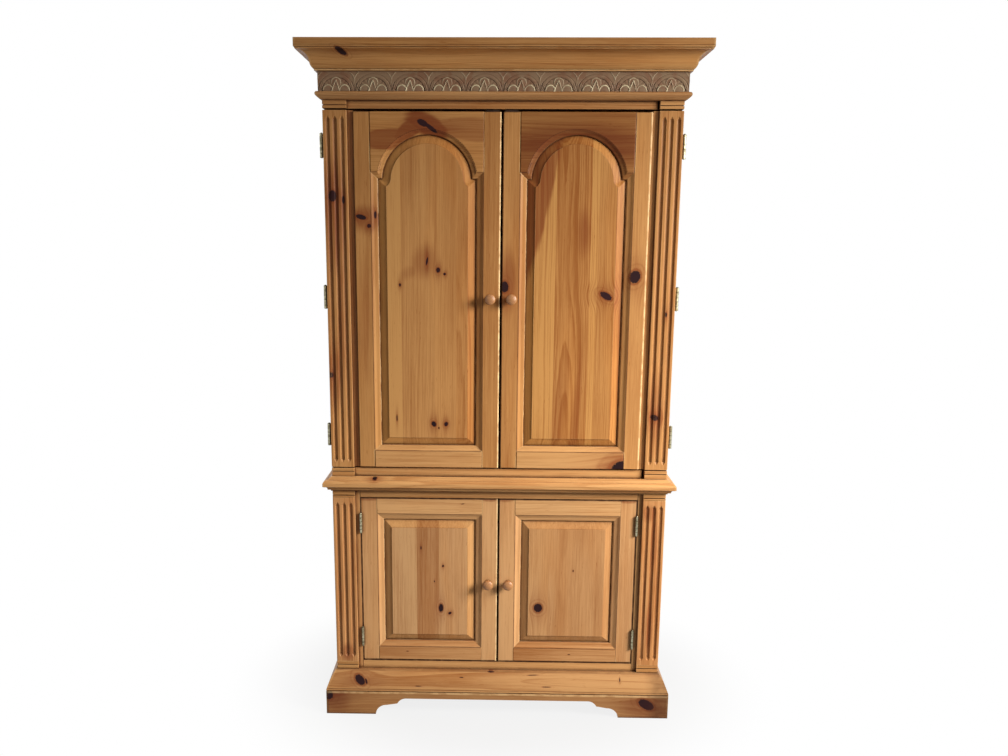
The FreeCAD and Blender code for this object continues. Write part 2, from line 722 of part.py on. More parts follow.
def upper_case(hinges):
    """Sides, deck, top, back, header, rails and shelf above the waist."""
    side = box(inside, half, upper_front, back, z_upper_base, z_case_top)
    rabbet = box(inside - 1, inside + back_rabbet, back_face, back + 1, z_upper_base - 1, z_case_top + 1)
    cuts = [rabbet] + shelf_pin_holes(upper_shelf_height) + hinges["case_cut"]
    save("upper_sides", both(side.cut(cuts).Solids[0]))
    save("tv_deck", [box(-inside, inside, upper_front, back_face,
                         z_upper_opening - shelf_board, z_upper_opening)])
    save("upper_top", [box(-inside, inside, upper_front, back_face,
                           z_case_top - shelf_board, z_case_top)])
    reach = inside + back_rabbet
    panel = box(-reach, reach, back_face, back, z_upper_base, z_case_top)
    save("upper_back", [panel.cut(outlet(upper_outlet_height)).Solids[0]])
    save("upper_header", [box(-half, half, frame_face, upper_front, z_astragal, z_case_top)])
    save("upper_top_rail", [box(-pilaster_in, pilaster_in - top_rail_shortfall, frame_face,
                                upper_front, z_upper_cap, z_astragal)])
    save("waist_rail", [box(-pilaster_in, pilaster_in - waist_rail_shortfall, frame_face,
                            upper_front, z_upper_base, z_upper_opening)])
    shelf_reach = inside - shelf_side_clearance
    save("upper_shelf", [box(-shelf_reach, shelf_reach, face + shelf_front_setback, back_face,
                             upper_shelf_height, upper_shelf_height + shelf_board)])
    front, sides = frieze_pieces()
    save("frieze_front", [front])
    save("frieze_returns", sides)
    save("astragal", moulding(astragal_profile, z_astragal, frame_setback))
    save("cornice", moulding(cornice_profile, z_cornice, frame_setback))


def blocks():
    """Cap and base blocks above and below each pilaster."""
    levels = [(z_lower_base, z_lower_pilaster, lower_base_groove_rise, frame_face),
              (z_lower_cap, z_waist, lower_cap_groove_rise, frame_face),
              (z_upper_base, z_upper_opening, upper_base_groove_rise, upper_front),
              (z_upper_cap, z_astragal, upper_cap_groove_rise, upper_front)]
    solids = []
    for z0, z1, rise, rear in levels:
        solids += both(block(z0, z1, rise, rear))
    save("pilaster_blocks", solids)


def shelf_pins():
    solids = []
    for height in (lower_shelf_height, upper_shelf_height):
        for y, z in pin_places(height):
            solids += both(shelf_pin(y, z, 0))
    save("shelf_pins", solids)


def catch_pair(door, rail_low, rail_back):
    """Magnetic catch behind the closing corner of a door, and the strike plate on the door."""
    x0 = door["close"] + 6
    x1 = x0 + catch_width
    strike = box(x0 + 4, x1 - 4, door["back"], door["back"] + strike_thickness,
                 door["high"] - catch_height, door["high"] - 2)
    front = door["back"] + strike_thickness + catch_clearance
    rear = front + catch_depth
    magnet = box(x0, x1, front, rear, rail_low - catch_height, rail_low)
    if rail_back < rear:
        magnet = magnet.fuse(box(x0, x1, max(rail_back, front - strike_thickness - catch_clearance),
                                 rear, rail_low, rail_low + catch_height)).removeSplitter()
    return magnet, strike


def upper_doors(door, hinges, strike):
    """Each upper leaf: hinge board with its pilaster, then the framed arched door."""
    outer, inner, top, bottom = door_frame(door)
    place = knob_place(door, upper_knob_rise)
    inner = inner.cut(knob_hole(place)).Solids[0]
    hinge_board = box(upper_door_edge, half, frame_face, leaf_back, leaf_low, leaf_high)
    pieces = {
        "hinge_board": [hinge_board.cut(hinges["door_cut"]).Solids[0]],
        "pilaster": [pilaster(leaf_low, leaf_high)],
        "stiles": [outer, inner],
        "top_rail": [top],
        "bottom_rail": [bottom],
        "panel": [raised_panel(door)],
        "knob": [knob(place)],
        "hinge_leaves": hinges["door"],
        "strike": [strike],
    }
    save_pair("upper", pieces)


def lower_doors(door, hinges, strike):
    """Each lower door: a plain framed door with a rectangular raised panel."""
    outer, inner, top, bottom = door_frame(door)
    place = knob_place(door, lower_knob_rise)
    pieces = {
        "stiles": [outer.cut(hinges["door_cut"]).Solids[0], inner.cut(knob_hole(place)).Solids[0]],
        "rails": [top, bottom],
        "panel": [raised_panel(door)],
        "knob": [knob(place)],
        "hinge_leaves": hinges["door"],
        "strike": [strike],
    }
    save_pair("lower", pieces)


def save_pair(level, pieces):
    """The right-hand pieces, and their mirror images for the left-hand door."""
    for name, solids in pieces.items():
        save(level + "_right_" + name, solids)
        save(level + "_left_" + name, [mirrored(s) for s in solids])


def main():
    os.makedirs("parts", exist_ok=True)
    upper = door_values("upper")
    lower = door_values("lower")
    middle = (leaf_low + leaf_high) / 2 - upper_hinge_drop
    upper_hinges = hinge_set(upper_hinge, half + upper_hinge["stand"], leaf_back + leaf_gap / 2,
                             [leaf_low + upper_hinge_inset, middle, leaf_high - upper_hinge_inset], 180)
    lower_hinges = hinge_set(lower_hinge, lower_opening_half - lower_door_gap / 2,
                             frame_face - lower_hinge["stand"],
                             [lower_door_low + lower_hinge_inset,
                              lower_door_high - lower_hinge_inset], 90)
    lower_case(lower_hinges)
    upper_case(upper_hinges)
    blocks()
    shelf_pins()
    upper_magnet, upper_strike = catch_pair(upper, z_upper_cap, upper_front)
    lower_magnet, lower_strike = catch_pair(lower, lower_opening_high, lower_front)
    save("door_catches", both(upper_magnet) + both(lower_magnet))
    upper_doors(upper, upper_hinges, upper_strike)
    lower_doors(lower, lower_hinges, lower_strike)
    leaves = []
    pins = []
    for solid in upper_hinges["case"] + lower_hinges["case"]:
        leaves += both(solid)
    for solid in upper_hinges["pin"] + lower_hinges["pin"]:
        pins += both(solid)
    save("case_hinge_leaves", leaves)
    save("hinge_pins", pins)


main()
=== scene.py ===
import json
import math
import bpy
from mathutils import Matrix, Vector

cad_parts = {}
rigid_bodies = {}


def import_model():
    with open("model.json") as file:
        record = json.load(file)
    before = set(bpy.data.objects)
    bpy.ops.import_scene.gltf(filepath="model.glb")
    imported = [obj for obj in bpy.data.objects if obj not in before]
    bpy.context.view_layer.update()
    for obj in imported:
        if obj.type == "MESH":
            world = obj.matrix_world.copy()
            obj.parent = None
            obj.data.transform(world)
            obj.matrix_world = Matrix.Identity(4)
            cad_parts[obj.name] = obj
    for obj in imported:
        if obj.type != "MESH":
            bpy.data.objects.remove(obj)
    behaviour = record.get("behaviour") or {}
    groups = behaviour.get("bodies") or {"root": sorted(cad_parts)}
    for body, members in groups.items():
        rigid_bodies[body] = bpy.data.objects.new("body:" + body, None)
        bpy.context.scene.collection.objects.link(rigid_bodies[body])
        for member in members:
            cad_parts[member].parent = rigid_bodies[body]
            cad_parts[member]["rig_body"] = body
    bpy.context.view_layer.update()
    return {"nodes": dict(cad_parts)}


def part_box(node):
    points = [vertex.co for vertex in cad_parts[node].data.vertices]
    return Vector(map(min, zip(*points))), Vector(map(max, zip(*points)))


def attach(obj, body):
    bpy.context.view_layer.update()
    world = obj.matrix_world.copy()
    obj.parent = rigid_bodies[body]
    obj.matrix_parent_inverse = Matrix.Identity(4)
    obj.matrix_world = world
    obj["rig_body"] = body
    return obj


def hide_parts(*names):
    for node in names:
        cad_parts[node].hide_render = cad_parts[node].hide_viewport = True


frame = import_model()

import zlib

import bmesh
import bpy
import numpy as np
from mathutils import Matrix, Vector


# ======================================== plinth and base moulding
# Bracket feet sawn out of three pine boards, mitred at the front corners, and a bellied moulding
# of the same wood nailed round the case above them. Both are glazed, rubbed and lacquered.
def solid_numbers(faces, corner_count):
    """Number of the solid that each face belongs to. The faces come solid after solid, and a solid
    is complete where every edge met so far has been walked as often one way as the other."""
    start = faces.reshape(-1)
    end = np.roll(faces, -1, axis=1).reshape(-1)
    key = np.minimum(start, end).astype(np.int64) * corner_count + np.maximum(start, end)
    way = np.where(start < end, 1, -1)
    order = np.argsort(key, kind="stable")
    first = np.r_[True, np.diff(key[order]) != 0]
    run = np.cumsum(way[order])
    offset = (run - way[order])[first]
    is_open = (run - np.repeat(offset, np.diff(np.r_[np.flatnonzero(first), len(run)]))) != 0
    was_open = np.r_[False, is_open[:-1]] & ~first
    change = np.zeros(len(faces))
    np.add.at(change, order // 3, is_open.astype(float) - was_open)
    complete = np.cumsum(change) == 0
    return np.r_[0, np.cumsum(complete)[:-1]]


def welded(node):
    """Corners, faces and the solid of each corner of a CAD node, with the doubles of a solid merged."""
    mesh = frame["nodes"][node].data
    co = np.empty(len(mesh.vertices) * 3, np.float32)
    mesh.vertices.foreach_get("co", co)
    mesh.calc_loop_triangles()
    corners = np.empty(len(mesh.loop_triangles) * 3, np.int32)
    mesh.loop_triangles.foreach_get("vertices", corners)
    places, weld = np.unique(np.round(co.reshape(-1, 3), 6), axis=0, return_inverse=True)
    faces = weld.reshape(-1)[corners].reshape(-1, 3)
    whole = (faces != np.roll(faces, 1, axis=1)).all(axis=1)
    faces = faces[whole]
    solid = solid_numbers(faces, len(places))
    pairs = np.stack([np.repeat(solid, 3), faces.reshape(-1)], axis=1)
    pairs, own = np.unique(pairs, axis=0, return_inverse=True)
    return places[pairs[:, 1]], own.reshape(-1, 3), pairs[:, 0]


share_near_pith = 0.6


def growth(points, grain, dice):
    """Where each point lay in its tree: across and behind the pith, and along the trunk.
    The board's longest side is the trunk unless grain names an axis, and the pith leans a little."""
    size = np.ptp(points, axis=0)
    order = list(np.argsort(size))
    if grain:
        axis = "xyz".index(grain)
        order.remove(axis)
        order.append(axis)
    depth_axis, across_axis, along_axis = order
    along = points[:, along_axis] + dice.uniform(-5, 5)
    if dice.random() < share_near_pith:
        across_pith = dice.uniform(-0.4, 0.4) * size[across_axis]
    else:
        across_pith = dice.choice([-1, 1]) * dice.uniform(0.09, 0.2)
    depth_pith = dice.choice([-1, 1]) * dice.uniform(0.025, 0.07)
    middle = points.mean(axis=0)
    lean = dice.uniform(-0.012, 0.012, 2)
    across = points[:, across_axis] - middle[across_axis] - across_pith + lean[0] * (along - along.mean())
    depth = points[:, depth_axis] - middle[depth_axis] - depth_pith + lean[1] * (along - along.mean())
    return np.stack([across, depth, along], axis=1)


snap = 1e-5             # metres, within which a corner lies on its solid's box
level_front = 0.9998    # share of its normal that a flat face turns to the front
steepest = 0.25         # the same share for the steepest face that glaze and painted shade settle on
leaning = 0.75          # below it, a face is darkened all over with glaze and painted shade


def placed(name, data):
    """Object of that name, linked to the scene."""
    thing = bpy.data.objects.new(name, data)
    bpy.context.scene.collection.objects.link(thing)
    return thing


def board(node, finish, grain=None, ease=0.0014, tones=((0.0, 0.0),), quirk=None, crease=34, slot="pine"):
    """Sawn and planed copy of a CAD node: flat faces joined, long outer edges eased, the wood's
    growth and each solid's tone (lighter, redder) kept as attributes for the finish. Where a moulded
    face leaves the flat front, glaze and painted shade stay in a line, standing in for the shadow
    in a quirk, which a larger quirk makes thinner; steep faces get them all over. Faces that
    meet at more than crease degrees keep a sharp edge."""
    points, faces, solid = welded(node)
    dice = np.random.default_rng(zlib.crc32(node.encode()))
    figure = np.empty((len(points), 3), np.float32)
    stock = np.zeros((len(points), 3), np.float32)
    rims = np.zeros(len(points), np.int32)
    for number in range(solid.max() + 1):
        mine = solid == number
        figure[mine] = growth(points[mine], grain, dice)
        lighter, redder = tones[number % len(tones)]
        stock[mine] = lighter + dice.uniform(-0.05, 0.05), redder + dice.uniform(-0.08, 0.08), quirk or 1.0
        low = points[mine].min(axis=0) + snap
        high = points[mine].max(axis=0) - snap
        sides = np.concatenate([points[mine] < low, points[mine] > high], axis=1)
        rims[mine] = sides @ (1 << np.arange(6))
    mesh = bpy.data.meshes.new(node + "_wood")
    mesh.from_pydata(points, [], faces.tolist())
    for name, kind, field, values in (("figure", "FLOAT_VECTOR", "vector", figure),
                                      ("stock", "FLOAT_VECTOR", "vector", stock),
                                      ("rims", "INT", "value", rims)):
        mesh.attributes.new(name, kind, "POINT").data.foreach_set(field, values.reshape(-1))
    shape = bmesh.new()
    shape.from_mesh(mesh)
    bmesh.ops.dissolve_limit(shape, angle_limit=math.radians(0.25), verts=shape.verts, edges=shape.edges)
    weight = shape.edges.layers.float.new("bevel_weight_edge")
    rim = shape.verts.layers.int["rims"]
    for edge in shape.edges:
        shared = edge.verts[0][rim] & edge.verts[1][rim]
        if bin(shared).count("1") >= 2 and len(edge.link_faces) == 2:
            edge[weight] = 1.0
    # A line of glaze and painted shade where a moulded face leaves the front, standing in for the shadow in a
    # quirk.
    glaze = shape.loops.layers.float.new("glaze_and_shade_line")
    shape.normal_update()
    for edge in shape.edges:
        fronts = [face.normal.y < -level_front for face in edge.link_faces]
        slopes = [face for face in edge.link_faces if -level_front < face.normal.y < -steepest]
        if quirk and any(fronts) and slopes:
            for loop in slopes[0].loops:
                if loop.vert in edge.verts:
                    loop[glaze] = 1.0
    for face in shape.faces:
        if quirk and -leaning < face.normal.y < -steepest:
            for loop in face.loops:
                loop[glaze] = 1.0
    shape.to_mesh(mesh)
    shape.free()
    mesh.attributes.remove(mesh.attributes["rims"])
    mesh.shade_smooth()
    mesh.set_sharp_from_angle(angle=math.radians(crease))
    piece = placed(node + "_wood", mesh)
    mesh.materials.append(finish)
    if ease:
        eased = piece.modifiers.new("eased_edges", "BEVEL")
        eased.limit_method = "WEIGHT"
        eased.width = ease
        eased.segments = 3
        eased.harden_normals = True
    flats = piece.modifiers.new("true_flats", "WEIGHTED_NORMAL")
    flats.mode = "FACE_AREA"
    flats.weight = 100
    flats.keep_sharp = True
    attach(piece, frame["nodes"][node]["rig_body"])
    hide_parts(node)


def srgb(red, green, blue):
    """A colour written as 0 to 255, as the linear one that shaders take."""
    share = np.array([red, green, blue]) / 255
    return (*np.where(share < 0.04045, share / 12.92, ((share + 0.055) / 1.055) ** 2.4), 1.0)


def shade(tree, kind, feeds=(), **settings):
    """A shader node. A feed is a socket's name or number, and a value or the socket that drives it."""
    made = tree.nodes.new("ShaderNode" + kind)
    for key, value in settings.items():
        setattr(made, key, value)
    for place, value in feeds:
        if isinstance(value, bpy.types.NodeSocket):
            tree.links.new(value, made.inputs[place])
        else:
            made.inputs[place].default_value = value
    return made


def calc(tree, operation, *values):
    """One step of arithmetic on values."""
    return shade(tree, "Math", enumerate(values), operation=operation).outputs[0]


def times(tree, value, factor):
    """The product of two values."""
    return calc(tree, "MULTIPLY", value, factor)


def scaled(tree, value, factor, offset):
    """value times factor, plus offset."""
    return calc(tree, "MULTIPLY_ADD", value, factor, offset)


def vector(tree, operation, *values):
    """One step of arithmetic on vectors."""
    made = shade(tree, "VectorMath", enumerate(values), operation=operation)
    return made.outputs["Value" if operation in ("LENGTH", "DOT_PRODUCT") else "Vector"]


def split(tree, value):
    """The x, y and z of a vector."""
    return shade(tree, "SeparateXYZ", [(0, value)]).outputs


def joined(tree, *values):
    """A vector from its x, y and z."""
    return shade(tree, "CombineXYZ", enumerate(values)).outputs[0]


def own_frame(tree, what="Object"):
    """Place of a point in the frame of its own body, or, with "Normal", which way it faces there."""
    return shade(tree, "TexCoord").outputs[what]


def stored(tree, name, kind="Fac"):
    """A value that the mesh keeps at its points."""
    return shade(tree, "Attribute", attribute_name=name).outputs[kind]


def openness(tree, reach, inside=False):
    """1 in the open, less where something is nearer than reach, or, inside, where the wood is thin."""
    return shade(tree, "AmbientOcclusion", [("Distance", reach)], samples=6, inside=inside).outputs["AO"]


def soft_step(tree, value, low, high, start=0.0, end=1.0):
    """start where value is low, end where it is high, and smooth between them."""
    feeds = (("Value", value), ("From Min", low), ("From Max", high), ("To Min", start), ("To Max", end))
    return shade(tree, "MapRange", feeds, interpolation_type="SMOOTHSTEP").outputs[0]


def speckle(tree, place, scale, stretch=(1, 1, 1), detail=2.0, rough=0.5):
    """Noise from 0 to 1 and its colour, on place stretched by three factors."""
    stretched = vector(tree, "MULTIPLY", place, stretch)
    feeds = (("Vector", stretched), ("Scale", scale), ("Detail", detail), ("Roughness", rough))
    return shade(tree, "TexNoise", feeds).outputs


def tint(tree, amount, under, over, blend="MIX"):
    """Mixes two colours, as layers of stain do."""
    made = shade(tree, "Mix", ((0, amount), (6, under), (7, over)), data_type="RGBA", blend_type=blend)
    return made.outputs[2]


def new_group(name, given, result):
    """Shader group with its inputs (name and value: a float, a vector of 3 or a colour of 4) and
    its outputs (name and kind)."""
    tree = bpy.data.node_groups.new(name, "ShaderNodeTree")
    for label, value in given.items():
        kind = {3: "Vector", 4: "Color"}[len(value)] if isinstance(value, tuple) else "Float"
        made = tree.interface.new_socket(label, in_out="INPUT", socket_type="NodeSocket" + kind)
        made.default_value = value
    for label, kind in result.items():
        tree.interface.new_socket(label, in_out="OUTPUT", socket_type="NodeSocket" + kind)
    return tree, tree.nodes.new("NodeGroupInput").outputs, tree.nodes.new("NodeGroupOutput").inputs


def finish_group(tree, ends, values):
    """The group, with each of its outputs wired to its value."""
    for label, value in values.items():
        tree.links.new(value, ends[label])
    return tree


def new_finish(name):
    """A material and its node tree, still empty."""
    finish = bpy.data.materials.new(name)
    finish.use_nodes = True
    finish.node_tree.nodes.clear()
    return finish, finish.node_tree


def coat(tree, surface):
    """Makes a shader what is seen of the material."""
    shade(tree, "OutputMaterial", [("Surface", surface.outputs[0])])


ellipse = {"Place": (0, 0, 0), "Centre": (0, 0, 0), "Size": (0.01, 0.01, 1), "Turn": 0.0}
knot_marks = ("Shift", "Core", "Rim", "Halo")


def in_ellipse(tree, have):
    """Where a point lies from the middle of a mark, in metres, and turned, in its half sizes."""
    away = vector(tree, "SUBTRACT", have["Place"], have["Centre"])
    turned = shade(tree, "VectorRotate", (("Vector", away), ("Angle", have["Turn"])), rotation_type="Z_AXIS")
    return away, vector(tree, "DIVIDE", turned.outputs[0], have["Size"])


def knot_group():
    """A branch cut through: a dark core with a ragged edge, an orange collar, a reddish glow drawn
    out along the grain, and the growth lines pushed aside round it. It adds to earlier knots."""
    tree, have, ends = new_group("knot", {**ellipse, "Glow": 1.0, **dict.fromkeys(knot_marks, 0.0)},
                                 dict.fromkeys(knot_marks, "Float"))
    away, inside = in_ellipse(tree, have)
    ragged = speckle(tree, have["Place"], 260.0)[0]
    edge = scaled(tree, calc(tree, "SUBTRACT", ragged, 0.5), 0.42, vector(tree, "LENGTH", inside))
    core = soft_step(tree, edge, 1.08, 0.92)
    collar = times(tree, soft_step(tree, edge, 1.5, 1.15), soft_step(tree, edge, 0.95, 1.1))
    ring = times(tree, soft_step(tree, edge, 2.25, 2.02), soft_step(tree, edge, 1.75, 1.95))
    collar = scaled(tree, ring, 0.28, collar)
    upright = vector(tree, "DIVIDE", away, have["Size"])
    plume = vector(tree, "LENGTH", vector(tree, "DIVIDE", upright, (2.6, 4.2, 1)))
    glow = calc(tree, "EXPONENT", times(tree, calc(tree, "POWER", plume, 2.0), -1.3))
    glow = times(tree, glow, have["Glow"])
    spread = vector(tree, "LENGTH", vector(tree, "DIVIDE", upright, (2.3, 3.0, 1)))
    push = calc(tree, "EXPONENT", times(tree, calc(tree, "POWER", spread, 2.0), -1.0))
    aside = times(tree, split(tree, away)[0], push)
    return finish_group(tree, ends, {
        "Shift": scaled(tree, aside, 0.85, have["Shift"]),
        "Core": calc(tree, "MAXIMUM", core, have["Core"]),
        "Rim": calc(tree, "MAXIMUM", collar, have["Rim"]),
        "Halo": calc(tree, "MAXIMUM", glow, have["Halo"])})


def heart_group():
    """Patch of darker heartwood: an ellipse whose edge wanders with the grain."""
    tree, have, ends = new_group(
        "heartwood", {**ellipse, "Strength": 1.0, "Softness": 0.3, "Heart": 0.0}, {"Heart": "Float"})
    inside = in_ellipse(tree, have)[1]
    wander = speckle(tree, have["Place"], 1.0, (70, 9, 1))[0]
    edge = scaled(tree, calc(tree, "SUBTRACT", wander, 0.5), 0.4, vector(tree, "LENGTH", inside))
    outer = calc(tree, "ADD", 1.0, have["Softness"])
    inner = calc(tree, "SUBTRACT", 1.0, have["Softness"])
    patch = times(tree, soft_step(tree, edge, outer, inner), have["Strength"])
    return finish_group(tree, ends, {"Heart": calc(tree, "MAXIMUM", patch, have["Heart"])})


def pine_group():
    """Pine from its growth: rings about the pith, wide pale early wood darkening to a narrow late
    line, with fibres, flecks and clouds drawn out along the trunk. Knots and heartwood stain it."""
    tree, have, ends = new_group(
        "pine",
        {"Figure": (0, 0, 0), "Ring": 0.005, "Figuring": 0.5,
         **dict.fromkeys(("Lighter", "Redder", *knot_marks, "Heart"), 0.0),
         **dict.fromkeys(("Early", "Late", "Red"), (1, 1, 1, 1))},
        {"Color": "Color", "Roughness": "Float", "Height": "Float"})
    parts = split(tree, have["Figure"])
    across = calc(tree, "SUBTRACT", parts[0], have["Shift"])
    trunk = joined(tree, across, parts[1], parts[2])
    sway = split(tree, speckle(tree, trunk, 1.0, (7, 7, 1.5), 1.5)[1])
    wave = speckle(tree, trunk, 1.0, (60, 60, 8))[0]
    x = scaled(tree, sway[0], 0.034, across)
    y = scaled(tree, sway[1], 0.034, parts[1])
    radius = vector(tree, "LENGTH", joined(tree, x, y))
    radius = scaled(tree, wave, 0.0024, radius)
    season = shade(tree, "TexNoise", (("W", radius), ("Scale", 55.0), ("Detail", 1.0)), noise_dimensions="1D")
    years = scaled(tree, season.outputs[0], 4.0, calc(tree, "DIVIDE", radius, have["Ring"]))
    year = calc(tree, "FRACT", years)
    late = calc(tree, "SUBTRACT", soft_step(tree, year, 0.15, 0.86), soft_step(tree, year, 0.88, 1.0))
    luck = shade(tree, "TexWhiteNoise", [("W", calc(tree, "FLOOR", years))], noise_dimensions="1D").outputs[0]
    late = times(tree, late, scaled(tree, luck, 0.75, 0.25))
    streak = speckle(tree, trunk, 1.0, (120, 120, 2.2), 3.0)[0]
    fibre = speckle(tree, trunk, 1.0, (900, 900, 22), 2.0, 0.6)[0]
    cloud = speckle(tree, trunk, 1.0, (11, 11, 2.0), 2.5)
    fleck = soft_step(tree, speckle(tree, trunk, 1.0, (430, 430, 34), 1.0)[0], 0.71, 0.79)
    heart = times(tree, have["Heart"], scaled(tree, streak, 0.8, 0.55))
    figure = times(tree, late, scaled(tree, have["Heart"], 0.35, have["Figuring"]))
    grain = speckle(tree, trunk, 1.0, (330, 330, 5), 2.0, 0.7)[0]
    for pattern, depth in ((streak, 0.68), (cloud[0], 1.25), (fibre, 0.66), (grain, 0.88)):
        figure = scaled(tree, calc(tree, "SUBTRACT", pattern, 0.5), depth, figure)
    figure = scaled(tree, fleck, 0.55, figure)
    figure = calc(tree, "SUBTRACT", calc(tree, "ADD", figure, 0.16), have["Lighter"])
    color = tint(tree, calc(tree, "MAXIMUM", figure, 0.0), have["Early"], have["Late"])
    color = tint(tree, times(tree, have["Lighter"], 1.3), color, (1.26, 1.34, 1.22, 1), "MULTIPLY")
    blush = soft_step(tree, split(tree, cloud[1])[1], 0.45, 0.7)
    redder = scaled(tree, blush, 0.35, have["Redder"])
    color = tint(tree, redder, color, (0.97, 0.8, 0.6, 1), "MULTIPLY")
    color = tint(tree, calc(tree, "MINIMUM", heart, 1.0), color, have["Red"])
    halo = times(tree, have["Halo"], scaled(tree, streak, 1.0, 0.3))
    color = tint(tree, calc(tree, "MINIMUM", halo, 0.9), color, have["Red"])
    color = tint(tree, times(tree, have["Rim"], 0.8), color, have["Red"])
    dark = tint(tree, wave, srgb(8, 2, 6), srgb(50, 18, 20))
    color = tint(tree, have["Core"], color, dark)
    height = scaled(tree, fibre, 0.5, times(tree, late, -0.5))
    height = scaled(tree, have["Core"], -1.2, height)
    dull = scaled(tree, fibre, 0.16, 0.36)
    return finish_group(tree, ends, {
        "Color": color, "Height": height,
        "Roughness": scaled(tree, have["Core"], 0.12, dull)})


def glaze_wear_and_painted_light_group():
    """Finish by hand: glaze with painted shade left dark in corners, joints and hollows, and edges rubbed
    thin and paled, partly as a painted highlight.
    """
    tree, have, ends = new_group(
        "rubbed", {"Color": (1, 1, 1, 1), "Line": 0.0, "Fill": 0.5, "Wear": 0.55}, {"Color": "Color"})
    hollow = openness(tree, 0.012)
    uneven = speckle(tree, own_frame(tree), 22.0, detail=3.0)[0]
    left = calc(tree, "MAXIMUM", soft_step(tree, hollow, 0.96, have["Fill"]), have["Line"])
    left = times(tree, left, scaled(tree, uneven, 0.8, 0.45))
    # Glaze and painted shade: darker where something is near, in corners, joints and hollows.
    color = tint(tree, calc(tree, "MINIMUM", left, 0.96), have["Color"], srgb(64, 29, 17))
    edge = openness(tree, 0.005, inside=True)
    # Pale edges: partly rubbed wood, partly a painted highlight.
    worn = times(tree, soft_step(tree, edge, 0.85, 0.5), soft_step(tree, uneven, 0.35, 0.62))
    worn = times(tree, worn, have["Wear"])
    return finish_group(tree, ends, {"Color": tint(tree, worn, color, srgb(232, 190, 132))})


knot_nodes = knot_group()
heart_nodes = heart_group()
pine_nodes = pine_group()
glaze_wear_and_painted_light_nodes = glaze_wear_and_painted_light_group()


def placed_marks(tree, group, place, spots, upright, extra, outputs):
    """Chain of knots or heartwood patches. Each adds to what the one before it gives."""
    marks = {}
    for across, up, wide, high, turn, *values in spots:
        feeds = {"Place": place, "Turn": math.radians(-turn if upright else turn),
                 "Centre": (across, up, 0) if upright else (up, across, 0),
                 "Size": (wide, high, 1) if upright else (high, wide, 1)}
        feeds.update(zip(extra, values))
        made = shade(tree, "Group", {**feeds, **marks}.items(), node_tree=group)
        marks = {mark: made.outputs[mark] for mark in outputs}
    return marks


